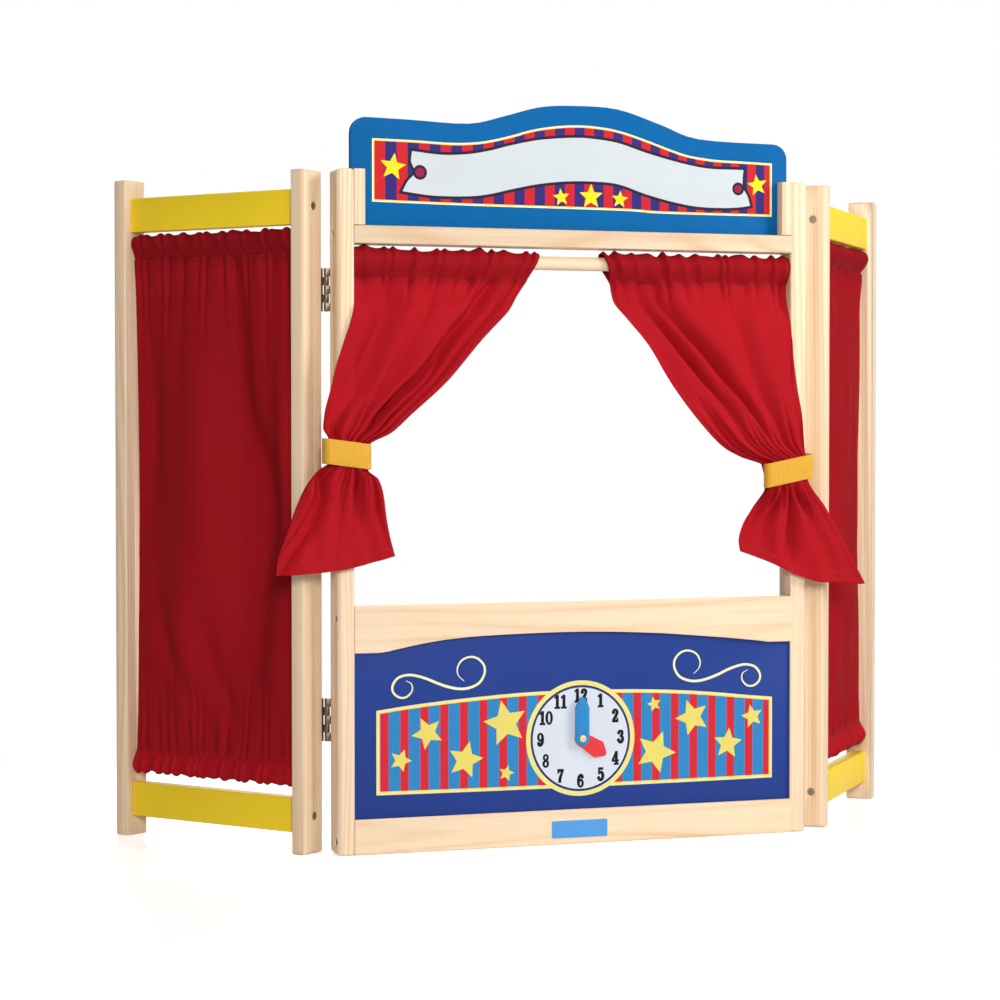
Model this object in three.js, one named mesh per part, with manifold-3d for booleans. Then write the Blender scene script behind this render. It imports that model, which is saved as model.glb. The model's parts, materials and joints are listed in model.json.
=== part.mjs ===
// Tabletop puppet theater stand: a stage frame with a window above an apron
// panel, two hinged curtain wings, a sign board that lifts out of its slot,
// a toy clock with two hands, and stage curtains tied back to the posts.
// Millimetres, +Z up, the stage faces -Y. The origin is the middle of the
// stage frame's bottom rail, on its underside.

import * as THREE from 'three';
import { mergeVertices } from 'three/addons/utils/BufferGeometryUtils.js';
import Module from 'manifold-3d';

const wasm = await Module();
wasm.setup();

// Clearances
const gap = 0.3;
const overrun = 2;

// Stage frame
const stage_width = 450;
const post_width = 15.5;
const post_depth = 27;
const post_height = 600;
const perimeter_round = 5;
const edge_ease = 0.8;
const rail_depth = 12.5;
const top_rail_height = 16;
const top_rail_underside = 535;
const sill_top = 219;
const sill_end_height = 42;
const arch_rise = 14.2;
const bottom_rail_height = 31;

// Apron panel in its grooves
const panel_thickness = 4;
const panel_setback = 4;
const groove_depth = 4.5;

// Sign board and the cleats that hold it
const cleat_width = 10.5;
const front_cleat_depth = 12;
const sign_thickness = 6;
const sign_shoulder_height = 95;
const sign_crest_height = 112;
const sign_dip_height = 92.5;
const sign_low_shoulder_height = 84;
const sign_corner = 14;

// Clock
const clock_offset = 3;
const clock_height = 94.8;
const hand_thickness = 2.6;
const minute_hand_width = 12.8;
const minute_hand_reach = 37.6;
const minute_hand_shoulder = 28;
const hour_hand_width = 12;
const hour_hand_shoulder_width = 16;
const hour_hand_reach = 28;
const hour_hand_shoulder = 19.5;
const hand_tip_round = 2.5;
const hour_hand_angle_deg = 123;
const pin_radius = 2;
const pin_head_radius = 3.4;
const pin_head_thickness = 1.4;

// Wings
const wing_width = 222.5;
const left_wing_angle_deg = 53;
const right_wing_angle_deg = 51;
const wing_rail_height = 31;
const wing_rail_top_inset = 16.5;
const wing_rail_bottom_inset = 18;

// Hinges
const hinge_height = 38;
const hinge_leaf_width = 13;
const hinge_leaf_thickness = 1.2;
const hinge_knuckle_radius = 2.4;
const hinge_pin_radius = 1.1;
const hinge_knuckles = 5;
const hinge_spacing_to_post_gap = 2.5;
const hinge_screw_radius = 1.3;
const hinge_screw_inset = 9;
const upper_hinge_height = 495.5;
const lower_hinge_height = 117;

// Frame screws
const screw_head_radius = 3.6;
const screw_shank_radius = 1.9;
const screw_length = 34;
const screw_head_height = 3;
const screw_sink = 0.8;
const top_screw_height = 543;
const sill_screw_height = 208;
const bottom_screw_height = 12;

// Curtain rods
const stage_rod_radius = 6.2;
const stage_rod_height = 521.7;
const wing_rod_radius = 5;
const wing_rod_drop = 10;
const wing_rod_rise = 16.5;
const rod_socket_depth = 8;

// Curtains on the wings, with a casing for a rod at the top and the bottom
const cloth_half = 1.4;
const pocket_wall = 1.9;
const pocket_reach = 2.6;
const wing_seam_offset = 16;
const wing_fold_depth = 3.2;
const wing_fold_count = 6;
const ruffle_depth = 1.4;

// Stage curtains, measured inwards from the stage frame's side
const stage_fold_depth = 3.4;
const stage_fold_count = 6;
const stage_seam_offset = 16.7;
const bundle_outer = 1;
const bundle_half = 6.2;
const bundle_fold_depth = 1.2;
const bundle_clear = 0.6;
const tail_half = 2;
const tail_fold_depth = 4.5;
const left_header_reach = 189;
const left_tie_height = 351.5;
const left_tie_fall = 5;
const left_bundle_inner = 30;
const left_tail_outer_height = 246;
const left_tail_inner_height = 262;
const left_tail_outer_reach = -52.5;
const left_tail_inner_reach = 53;
const left_outer_bulge = -9;
const right_header_reach = 199.5;
const right_tie_height = 334.5;
const right_tie_fall = 7.5;
const right_bundle_inner = 32.5;
const right_tail_outer_height = 229.5;
const right_tail_inner_height = 261.5;
const right_tail_outer_reach = -60;
const right_tail_inner_reach = 65;
const right_outer_bulge = 0.5;

// Tie straps
const strap_width = 22;
const strap_thickness = 1.2;
const strap_corner = 1.2;
const bundle_round = 6;
const strap_clear = 0.4;

// Faces of the stage frame that everything lines up with
const front = -rail_depth / 2;
const back = front + post_depth;
const middle = front + post_depth / 2;
const half_width = stage_width / 2;
const inner_face = half_width - post_width;
const pivot_standoff = hinge_knuckle_radius + gap;
const pivot_y = back + pivot_standoff;
const pivot_x = half_width + hinge_spacing_to_post_gap / 2;
const top_rail_top = top_rail_underside + top_rail_height;
const sill_underside = sill_top - sill_end_height;

// Counts of flats on round forms
const half_turn = Math.PI;
const quarter_turn = Math.PI / 2;
const round_steps = 4;
const screw_segments = 12;
const knuckle_segments = 12;
const hinge_hole_segments = 8;
const rod_segments = 16;
const arch_steps = 26;
const sign_edge_steps = 36;
const hand_arc_segments = 6;
const stage_columns = 24;
const wing_columns = 24;

function radians(degrees) {
  return THREE.MathUtils.degToRad(degrees);
}

// Solids: closed geometry to a manifold and back

function toSolid(geometry) {
  const bare = geometry.clone();
  bare.deleteAttribute('normal');
  bare.deleteAttribute('uv');
  const merged = mergeVertices(bare);
  return new wasm.Manifold(new wasm.Mesh({
    numProp: 3,
    vertProperties: new Float32Array(merged.attributes.position.array),
    triVerts: new Uint32Array(merged.index.array),
  }));
}

function toGeometry(solid) {
  const mesh = solid.getMesh();
  const geometry = new THREE.BufferGeometry();
  geometry.setAttribute('position', new THREE.BufferAttribute(mesh.vertProperties, 3));
  geometry.setIndex(new THREE.BufferAttribute(mesh.triVerts, 1));
  geometry.computeVertexNormals();
  return geometry;
}

function cut(geometry, tools) {
  let solid = toSolid(geometry);
  for (const tool of tools) solid = solid.subtract(toSolid(tool));
  return toGeometry(solid);
}

function join(geometries) {
  let solid = toSolid(geometries[0]);
  for (const other of geometries.slice(1)) solid = solid.add(toSolid(other));
  return toGeometry(solid);
}

function common(first, second) {
  return toGeometry(toSolid(first).intersect(toSolid(second)));
}

// A box between two corners
function block(low, high) {
  const size = high.map((value, axis) => value - low[axis]);
  const geometry = new THREE.BoxGeometry(...size);
  geometry.translate(...low.map((value, axis) => value + size[axis] / 2));
  return geometry;
}

// A flat outline in X and Y, raised from one height to another
function raised(shape, bottom, top, curveSegments = 3) {
  const options = { depth: top - bottom, bevelEnabled: false, curveSegments };
  const geometry = new THREE.ExtrudeGeometry(shape, options);
  geometry.translate(0, 0, bottom);
  return geometry;
}

// An outline in X and Z, carried from one depth to another
function deepened(shape, near, far, curveSegments = 3) {
  const options = { depth: far - near, bevelEnabled: false, curveSegments };
  const geometry = new THREE.ExtrudeGeometry(shape, options);
  geometry.rotateX(quarter_turn);
  geometry.translate(0, far, 0);
  return geometry;
}

// A rectangle whose four corners have their own radii, counted from low x and
// low y anticlockwise. A small radius is one flat, a large one is an arc
function rectangle(x0, y0, x1, y1, radii) {
  const corners = [[x0, y0, 1, 1], [x1, y0, -1, 1], [x1, y1, -1, -1], [x0, y1, 1, -1]];
  const points = corners.flatMap(([x, y, right, up], index) => {
    const radius = radii[index];
    const steps = radius > edge_ease ? round_steps : 1;
    const first = half_turn + index * quarter_turn;
    return Array.from({ length: steps + 1 }, (_, step) => {
      const angle = first + quarter_turn * step / steps;
      return new THREE.Vector2(
        x + right * radius + radius * Math.cos(angle), y + up * radius + radius * Math.sin(angle));
    });
  });
  return new THREE.Shape(points);
}

// A bar along X with eased long edges
const along_x = new THREE.Matrix4().makeBasis(
  new THREE.Vector3(0, 1, 0), new THREE.Vector3(0, 0, 1), new THREE.Vector3(1, 0, 0));

function crossBar(x0, x1, near, far, bottom, top) {
  const eases = [edge_ease, edge_ease, edge_ease, edge_ease];
  const bar = raised(rectangle(near, bottom, far, top, eases), x0, x1);
  bar.applyMatrix4(along_x);
  return bar;
}

// A round bar from one point to another
function roundBar(start, end, radius, segments) {
  const from = new THREE.Vector3(...start);
  const direction = new THREE.Vector3(...end).sub(from);
  const length = direction.length();
  const geometry = new THREE.CylinderGeometry(radius, radius, length, segments);
  geometry.translate(0, length / 2, 0);
  const up = new THREE.Vector3(0, 1, 0);
  const turn = new THREE.Quaternion().setFromUnitVectors(up, direction.normalize());
  geometry.applyQuaternion(turn);
  geometry.translate(from.x, from.y, from.z);
  return geometry;
}

// A turned solid whose profile runs along the axis from its start
function turned(profile, start, direction, segments) {
  const points = profile.map(([radius, along]) => new THREE.Vector2(radius, along));
  const geometry = new THREE.LatheGeometry(points, segments);
  const up = new THREE.Vector3(0, 1, 0);
  const aim = new THREE.Vector3(...direction);
  geometry.applyQuaternion(new THREE.Quaternion().setFromUnitVectors(up, aim));
  geometry.translate(...start);
  return geometry;
}

// Materials

function finish(color, roughness, metalness = 0) {
  return new THREE.MeshStandardMaterial({ color, roughness, metalness });
}

const pine = finish(0xe8c99b, 0.55);
const yellow_paint = finish(0xf2cf3a, 0.4);
const blue_paint = finish(0x0068b4, 0.4);
const navy_panel = finish(0x2d3c96, 0.45);
const red_cloth = finish(0xb01c2c, 0.85);
const yellow_webbing = finish(0xf5b92e, 0.8);
const hinge_steel = finish(0x6f665c, 0.45, 0.9);
const screw_steel = finish(0x8d8578, 0.4, 0.9);
const blue_plastic = finish(0x1485c8, 0.35);
const red_plastic = finish(0xdf2a35, 0.35);
const pin_brass = finish(0xc9a878, 0.35, 0.5);

const theater = new THREE.Group();

function addPiece(parent, name, geometry, material) {
  const mesh = new THREE.Mesh(geometry, material);
  mesh.name = name;
  parent.add(mesh);
}

// Screws: countersunk, driven along X from a frame's side towards its middle

function screwProfile(grow, length) {
  const head = screw_head_radius + grow;
  const shank = screw_shank_radius + grow;
  return [
    [0, 0],
    [head, 0],
    [shank, screw_head_height],
    [shank, length],
    [0, length],
  ];
}

function screw(x, y, z, inward) {
  const profile = screwProfile(0, screw_length);
  return turned(profile, [x + inward * screw_sink, y, z], [inward, 0, 0], screw_segments);
}

function screwHole(x, y, z, inward) {
  const profile = screwProfile(gap, screw_length + overrun);
  const hole = turned(profile, [x + inward * screw_sink, y, z], [inward, 0, 0], screw_segments);
  const mouth = roundBar([x - inward * overrun, y, z], [x + inward * (screw_sink + gap), y, z],
    screw_head_radius + gap, screw_segments);
  return join([hole, mouth]);
}

// Posts: the edges on the frame's perimeter are rounded over, the others eased

function post(inner_x, outer_x, near, far) {
  const outward = Math.sign(outer_x - inner_x);
  const low = Math.min(inner_x, outer_x);
  const high = Math.max(inner_x, outer_x);
  const left_radius = outward < 0 ? perimeter_round : edge_ease;
  const right_radius = outward < 0 ? edge_ease : perimeter_round;
  const plan_radii = [left_radius, right_radius, right_radius, left_radius];
  const plan = raised(rectangle(low, near, high, far, plan_radii), 0, post_height);
  const face = rectangle(low, 0, high, post_height, plan_radii);
  return common(plan, deepened(face, near, far));
}

// Stage frame

const rail_end = inner_face - gap;
const rail_back = front + rail_depth;
const panel_front = front + panel_setback;
const panel_back = panel_front + panel_thickness;
const groove_front = panel_front - gap;
const groove_back = panel_back + gap;

// The sill's lower edge: a level stretch at each end and a crest between them,
// as shares of the reach across and of the rise
const arch_outline_shares = [
  [0.068, 0.06],
  [0.09, 0.19],
  [0.135, 0.44],
  [0.18, 0.65],
  [0.225, 0.79],
  [0.27, 0.88],
  [0.34, 0.95],
  [0.44, 1],
  [0.55, 0.97],
  [0.655, 0.83],
  [0.735, 0.66],
  [0.832, 0.4],
  [0.881, 0.25],
  [0.93, 0.08],
];
const arch_level_shares = [0.05, 0.945];

// Points of the arch from one side to the other, lifted by a given height
function archPoints(reach, lift) {
  const place = ([across, rise]) => new THREE.Vector2(
    inner_face * (2 * across - 1), sill_underside + arch_rise * rise + lift);
  const ends = arch_level_shares.map((across) => place([across, 0]));
  const crest = new THREE.SplineCurve([ends[0], ...arch_outline_shares.map(place), ends[1]]);
  return [
    new THREE.Vector2(-reach, sill_underside + lift),
    ...crest.getPoints(arch_steps),
    new THREE.Vector2(reach, sill_underside + lift),
  ];
}

function underArch(reach, lift, floor) {
  const corners = [new THREE.Vector2(reach, floor), new THREE.Vector2(-reach, floor)];
  return new THREE.Shape([...archPoints(reach, lift), ...corners]);
}

const groove_floor_height = bottom_rail_height - groove_depth;
const panel_bottom = groove_floor_height + gap;
const panel_reach = inner_face + groove_depth - gap;
const panel_lift = groove_depth - gap;
const stage_screws = [
  [middle, top_screw_height],
  [0, sill_screw_height],
  [0, bottom_screw_height],
];

function stagePost(side) {
  const outer_x = side * half_width;
  const inner_x = side * inner_face;
  const socket = roundBar(
    [inner_x - side * overrun, middle, stage_rod_height],
    [inner_x + side * rod_socket_depth, middle, stage_rod_height],
    stage_rod_radius + gap, rod_segments);
  const groove_x = [inner_x - side * overrun, inner_x + side * groove_depth];
  const groove = block(
    [Math.min(...groove_x), groove_front, groove_floor_height],
    [Math.max(...groove_x), groove_back, sill_underside + groove_depth]);
  const holes = stage_screws.map(([y, z]) => screwHole(outer_x, y, z, -side));
  return cut(post(inner_x, outer_x, front, back), [socket, groove, ...holes]);
}

function topRail() {
  const bar = crossBar(-rail_end, rail_end, front, back, top_rail_underside, top_rail_top);
  return cut(bar, railHoles(middle, top_screw_height));
}

function sillRail() {
  const bar = crossBar(-rail_end, rail_end, front, rail_back, sill_underside, sill_top);
  const arch = deepened(underArch(half_width, 0, 0), front - overrun, rail_back + overrun);
  const groove = deepened(underArch(half_width, groove_depth, 0), groove_front, groove_back);
  return cut(bar, [arch, groove, ...railHoles(0, sill_screw_height)]);
}

function bottomRail() {
  const bar = crossBar(-rail_end, rail_end, front, rail_back, 0, bottom_rail_height);
  const groove = block(
    [-half_width, groove_front, groove_floor_height],
    [half_width, groove_back, bottom_rail_height + overrun]);
  return cut(bar, [groove, ...railHoles(0, bottom_screw_height)]);
}

function railHoles(y, z) {
  return [-1, 1].map((side) => screwHole(side * half_width, y, z, -side));
}

function apronPanel() {
  const board = deepened(underArch(panel_reach, panel_lift, panel_bottom), panel_front, panel_back);
  const hole = roundBar([clock_offset, panel_front - overrun, clock_height],
    [clock_offset, panel_back + overrun, clock_height], pin_radius + gap, rod_segments);
  return cut(board, [hole]);
}

// Sign board: its lower part stands in the slot between the cleats, its top
// edge runs from a high shoulder through a dip and a crest to a low shoulder

const sign_front = front + front_cleat_depth + gap;
const sign_back = sign_front + sign_thickness;
const sign_bottom = top_rail_top + gap;
const sign_reach = inner_face - gap;
const crest_outline_shares = [
  [0.13, 0.99, 'shoulder'],
  [0.26, 1, 'dip'],
  [0.34, 0.4, 'rise'],
  [0.42, 0.87, 'rise'],
  [0.5, 1, 'crest'],
  [0.6, 0.94, 'fall'],
  [0.7, 0.5, 'fall'],
  [0.79, 0.08, 'fall'],
];

function signTopPoints() {
  const heights = {
    shoulder: (share) => sign_shoulder_height * share,
    dip: (share) => sign_dip_height * share,
    rise: (share) => sign_dip_height + (sign_crest_height - sign_dip_height) * share,
    crest: (share) => sign_crest_height * share,
    fall: (share) => sign_low_shoulder_height
      + (sign_crest_height - sign_low_shoulder_height) * share,
  };
  const inner = crest_outline_shares.map(([across, share, kind]) => new THREE.Vector2(
    -sign_reach + 2 * sign_reach * across, sign_bottom + heights[kind](share)));
  const left = new THREE.Vector2(-sign_reach + sign_corner, sign_bottom + sign_shoulder_height);
  const right = new THREE.Vector2(sign_reach - sign_corner, sign_bottom + sign_low_shoulder_height);
  return new THREE.SplineCurve([left, ...inner, right]).getPoints(sign_edge_steps);
}

function signOutline() {
  const top = signTopPoints();
  const left_centre = top[0].y - sign_corner;
  const right_centre = top[top.length - 1].y - sign_corner;
  const shape = new THREE.Shape();
  shape.moveTo(-sign_reach, sign_bottom);
  shape.lineTo(sign_reach, sign_bottom);
  shape.lineTo(sign_reach, right_centre);
  shape.absarc(sign_reach - sign_corner, right_centre, sign_corner, 0, quarter_turn, false);
  for (const point of top.reverse()) shape.lineTo(point.x, point.y);
  shape.absarc(-sign_reach + sign_corner, left_centre, sign_corner, quarter_turn, half_turn, false);
  return shape;
}

function cleat(side, near, far) {
  const outer = side * (inner_face - gap);
  const inner = side * (inner_face - cleat_width);
  const low = Math.min(outer, inner);
  const high = Math.max(outer, inner);
  const eases = [edge_ease, edge_ease, edge_ease, edge_ease];
  return raised(rectangle(low, near, high, far, eases), top_rail_top + gap, post_height);
}

addPiece(theater, 'top_rail', topRail(), pine);
addPiece(theater, 'sill_rail', sillRail(), pine);
addPiece(theater, 'bottom_rail', bottomRail(), pine);
addPiece(theater, 'apron_panel', apronPanel(), navy_panel);
addPiece(theater, 'sign_board', deepened(signOutline(), sign_front, sign_back), blue_paint);

// Clock hands, each flat with a round pivot end and a blunt point, and the
// headed pin that they turn on

const hour_hand_back = panel_front - gap;
const hour_hand_front = hour_hand_back - hand_thickness;
const minute_hand_back = hour_hand_front - gap;
const minute_hand_front = minute_hand_back - hand_thickness;
const pin_head_back = minute_hand_front - gap;

function hand(width, shoulder_width, shoulder, reach, near, far, angle_deg) {
  const radius = width / 2;
  const half_shoulder = shoulder_width / 2;
  const shape = new THREE.Shape();
  shape.absarc(0, 0, radius, half_turn, 0, false);
  shape.lineTo(half_shoulder, shoulder);
  shape.lineTo(hand_tip_round, reach - hand_tip_round / 2);
  shape.quadraticCurveTo(0, reach + hand_tip_round / 2, -hand_tip_round, reach - hand_tip_round / 2);
  shape.lineTo(-half_shoulder, shoulder);
  const blade = deepened(shape, near, far, hand_arc_segments);
  const bore = roundBar([0, near - overrun, 0], [0, far + overrun, 0],
    pin_radius + gap, rod_segments);
  const geometry = cut(blade, [bore]);
  geometry.rotateY(radians(angle_deg));
  geometry.translate(clock_offset, 0, clock_height);
  return geometry;
}

function clockPin() {
  const tail_start = panel_back + gap;
  const head_front = pin_head_back - pin_head_thickness;
  const shank_length = tail_start - head_front;
  const profile = [
    [0, 0],
    [pin_head_radius - edge_ease, 0],
    [pin_head_radius, edge_ease],
    [pin_head_radius, pin_head_thickness],
    [pin_radius, pin_head_thickness],
    [pin_radius, shank_length],
    [pin_head_radius, shank_length],
    [pin_head_radius, shank_length + pin_head_thickness],
    [0, shank_length + pin_head_thickness],
  ];
  return turned(profile, [clock_offset, head_front, clock_height], [0, 1, 0], rod_segments);
}

addPiece(theater, 'minute_hand', hand(minute_hand_width, minute_hand_width,
  minute_hand_shoulder, minute_hand_reach, minute_hand_front, minute_hand_back, 0), blue_plastic);
addPiece(theater, 'hour_hand', hand(hour_hand_width, hour_hand_shoulder_width,
  hour_hand_shoulder, hour_hand_reach, hour_hand_front, hour_hand_back, hour_hand_angle_deg),
red_plastic);
addPiece(theater, 'clock_pin', clockPin(), pin_brass);

const stage_rod_reach = inner_face + rod_socket_depth - gap;
addPiece(theater, 'stage_rod', roundBar(
  [-stage_rod_reach, middle, stage_rod_height],
  [stage_rod_reach, middle, stage_rod_height], stage_rod_radius, rod_segments), pine);

// Cloth: a closed sheet whose front and back are found by a rule that takes
// the share across and the row

function sheet(columns, rows, place) {
  const positions = [];
  const triangles = [];
  const width = columns + 1;
  const layer = width * (rows + 1);
  for (const face of [0, 1]) {
    for (let row = 0; row <= rows; row += 1) {
      for (let column = 0; column <= columns; column += 1) {
        positions.push(...place(column / columns, row)[face]);
      }
    }
  }
  const quad = (a, b, c, d) => triangles.push(a, b, c, a, c, d);
  for (let row = 0; row < rows; row += 1) {
    for (let column = 0; column < columns; column += 1) {
      const a = row * width + column;
      quad(a, a + width, a + width + 1, a + 1);
      quad(layer + a + 1, layer + a + width + 1, layer + a + width, layer + a);
    }
    const left = row * width;
    const right = left + columns;
    quad(left, layer + left, layer + left + width, left + width);
    quad(right + width, layer + right + width, layer + right, right);
  }
  for (let column = 0; column < columns; column += 1) {
    const low = rows * width + column;
    quad(column + 1, layer + column + 1, layer + column, column);
    quad(low, layer + low, layer + low + 1, low + 1);
  }
  const geometry = new THREE.BufferGeometry();
  geometry.setAttribute('position', new THREE.Float32BufferAttribute(positions, 3));
  geometry.setIndex(isInsideOut(positions, triangles) ? triangles.reverse() : triangles);
  return geometry;
}

// Whether a closed mesh encloses a negative volume
function isInsideOut(positions, triangles) {
  const corner = (index) => new THREE.Vector3().fromArray(positions, 3 * index);
  let volume = 0;
  for (let start = 0; start < triangles.length; start += 3) {
    const [a, b, c] = triangles.slice(start, start + 3).map(corner);
    volume += a.dot(b.cross(c));
  }
  return volume < 0;
}

// Rows of a rod pocket from above the rod to below it, as height over the
// rod's middle in shares of the pocket's half height, and half thickness in
// shares of the pocket's half depth
const pocket_row_shares = [[0.98, 0.3], [0.62, 0.82], [0, 1], [-0.62, 0.82], [-0.98, 0.3]];

function pocketRows(rod_z, rod_radius) {
  const half = rod_radius + pocket_reach;
  const depth = rod_radius + pocket_wall;
  return pocket_row_shares.map(([rise, share]) => ({
    z: rod_z + half * rise,
    half: Math.max(depth * share, cloth_half),
    fold: 0,
  }));
}

// Tied-back stage curtains. Reach is measured inwards from the frame's side,
// so one rule makes both sides

const upper_row_shares = [0.1, 0.2, 0.31, 0.46, 0.62, 0.8, 0.92];
const inner_sweep_shares = [0.9, 0.82, 0.71, 0.55, 0.38, 0.18, 0.05];
const outer_sweep_shares = [0, 0, 0, 0.55, 0.85, 1, 0.8];
const lean_shares = [0.3, 0.7, 1, 1, 1, 1, 1];
const tail_row_shares = [0.22, 0.5, 0.8, 1];
const bundle_edge_power = 4;
const tail_spread_shares = [0.42, 0.72, 0.94, 1];

function tiedCurtainRows(form) {
  const pocket = pocketRows(stage_rod_height, stage_rod_radius);
  const hang = inner_face - gap;
  const hang_reach = half_width - hang + gap;
  const seam_z = stage_rod_height - stage_seam_offset;
  const tie_top = form.tie_height + strap_width / 2;
  const tie_bottom = form.tie_height - strap_width / 2;
  const tied_y = front - bundle_clear - bundle_half - bundle_fold_depth;
  const rows = [];
  const add = (outer, inner, outer_z, inner_z, y, half, fold, bundled = false) => {
    rows.push({ outer, inner, outer_z, inner_z, y, half, fold, bundled });
  };
  for (const row of pocket) {
    add(hang_reach, form.header_reach, row.z, row.z, middle, row.half, row.fold);
  }
  add(hang_reach, form.header_reach, seam_z, seam_z, middle, cloth_half, ruffle_depth);
  upper_row_shares.forEach((share, index) => {
    const z = THREE.MathUtils.lerp(seam_z, tie_top, share);
    const fall = form.tie_fall * share / 2;
    const outer = THREE.MathUtils.lerp(hang_reach, form.outer_bulge, outer_sweep_shares[index]);
    const inner = THREE.MathUtils.lerp(
      form.bundle_inner, form.header_reach, inner_sweep_shares[index]);
    const half = THREE.MathUtils.lerp(cloth_half, bundle_half, share ** 2);
    const lean = lean_shares[index];
    const y_front = front - bundle_clear - half - stage_fold_depth;
    const y = THREE.MathUtils.lerp(middle, y_front, lean);
    add(outer, inner, z + fall, z - fall, y, half, stage_fold_depth, true);
  });
  for (const z of [tie_top, tie_bottom]) {
    add(bundle_outer, form.bundle_inner, z + form.tie_fall / 2, z - form.tie_fall / 2,
      tied_y, bundle_half, bundle_fold_depth, true);
  }
  tail_row_shares.forEach((share, index) => {
    const spread = tail_spread_shares[index];
    const half = THREE.MathUtils.lerp(bundle_half, tail_half, Math.sqrt(share));
    const outer = THREE.MathUtils.lerp(bundle_outer, form.tail_outer_reach, spread);
    const inner = THREE.MathUtils.lerp(form.bundle_inner, form.tail_inner_reach, spread);
    const outer_z = THREE.MathUtils.lerp(
      tie_bottom + form.tie_fall / 2, form.tail_outer_height, share);
    const inner_z = THREE.MathUtils.lerp(
      tie_bottom - form.tie_fall / 2, form.tail_inner_height, share);
    const y = front - bundle_clear - half - tail_fold_depth;
    add(outer, inner, outer_z, inner_z, y, half, tail_fold_depth, true);
  });
  return rows;
}

function tiedCurtain(side, form) {
  const rows = tiedCurtainRows(form);
  const place = (across, index) => {
    const row = rows[index];
    const reach = THREE.MathUtils.lerp(row.outer, row.inner, across);
    const z = THREE.MathUtils.lerp(row.outer_z, row.inner_z, across);
    const x = side * (half_width - reach);
    const y = row.y + row.fold * Math.cos(2 * half_turn * stage_fold_count * across);
    const edge = row.bundled ? Math.abs(2 * across - 1) ** bundle_edge_power : 0;
    const half = THREE.MathUtils.lerp(row.half, cloth_half, edge);
    return [[x, y - half, z], [x, y + half, z]];
  };
  const bore = roundBar([-half_width, middle, stage_rod_height],
    [half_width, middle, stage_rod_height], stage_rod_radius + gap, rod_segments);
  return cut(sheet(stage_columns, rows.length - 1, place), [bore]);
}

// Tie straps: a loop of webbing round the post and the bundle, lower on the
// inner side

function looseLoop(core, radius) {
  const points = [];
  const corner_steps = 4;
  core.forEach((corner, index) => {
    const before = core[(index + core.length - 1) % core.length];
    const after = core[(index + 1) % core.length];
    const start = Math.atan2(corner[1] - before[1], corner[0] - before[0]) - quarter_turn;
    let end = Math.atan2(after[1] - corner[1], after[0] - corner[0]) - quarter_turn;
    if (end < start) end += 2 * half_turn;
    for (let step = 0; step <= corner_steps; step += 1) {
      const angle = THREE.MathUtils.lerp(start, end, step / corner_steps);
      points.push(new THREE.Vector2(
        corner[0] + radius * Math.cos(angle), corner[1] + radius * Math.sin(angle)));
    }
  });
  return points;
}

// The strap's front corner where it turns round the bundle, from the side
// towards the front
function frontCorner(x, y, inward) {
  const radius = bundle_round - strap_corner;
  return [0, 0.5, 1].map((share) => {
    const angle = quarter_turn * share;
    return [
      x + inward * radius * (1 - Math.cos(angle)),
      y + radius * (1 - Math.sin(angle)),
    ];
  });
}

function tieStrap(side, form) {
  const outer = half_width + strap_clear - strap_corner;
  const post_inner = inner_face - strap_clear + strap_corner;
  const bundle_side = half_width - form.bundle_inner - bundle_clear - strap_clear + strap_corner;
  const bundle_front = front - 2 * (bundle_half + bundle_fold_depth) - bundle_clear
    - strap_clear + strap_corner;
  const core = [
    ...frontCorner(bundle_side, bundle_front, 1),
    ...frontCorner(outer, bundle_front, -1).reverse(),
    [outer, back + strap_clear - strap_corner],
    [post_inner, back + strap_clear - strap_corner],
    [bundle_side, front - strap_corner],
  ];
  const loop = new THREE.Shape(looseLoop(core, strap_corner + strap_thickness));
  loop.holes.push(new THREE.Path(looseLoop(core, strap_corner)));
  const band = raised(
    loop, form.tie_height - strap_width / 2, form.tie_height + strap_width / 2);
  const slope = form.tie_fall / (form.bundle_inner - bundle_outer);
  const centre = half_width - (form.bundle_inner + bundle_outer) / 2;
  const fall = new THREE.Matrix4().set(
    side, 0, 0, 0,
    0, 1, 0, 0,
    slope, 0, 1, -slope * centre,
    0, 0, 0, 1);
  band.applyMatrix4(fall);
  if (side < 0) flipFaces(band);
  return band;
}

// Turns each loose triangle over, for a geometry that has been mirrored
function flipFaces(geometry) {
  const positions = geometry.attributes.position;
  const a = new THREE.Vector3();
  const b = new THREE.Vector3();
  for (let corner = 0; corner < positions.count; corner += 3) {
    a.fromBufferAttribute(positions, corner + 1);
    b.fromBufferAttribute(positions, corner + 2);
    positions.setXYZ(corner + 1, b.x, b.y, b.z);
    positions.setXYZ(corner + 2, a.x, a.y, a.z);
  }
}

const left_form = {
  header_reach: left_header_reach,
  tie_height: left_tie_height,
  tie_fall: left_tie_fall,
  bundle_inner: left_bundle_inner,
  tail_outer_height: left_tail_outer_height,
  tail_inner_height: left_tail_inner_height,
  tail_outer_reach: left_tail_outer_reach,
  tail_inner_reach: left_tail_inner_reach,
  outer_bulge: left_outer_bulge,
};

const right_form = {
  header_reach: right_header_reach,
  tie_height: right_tie_height,
  tie_fall: right_tie_fall,
  bundle_inner: right_bundle_inner,
  tail_outer_height: right_tail_outer_height,
  tail_inner_height: right_tail_inner_height,
  tail_outer_reach: right_tail_outer_reach,
  tail_inner_reach: right_tail_inner_reach,
  outer_bulge: right_outer_bulge,
};

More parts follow.
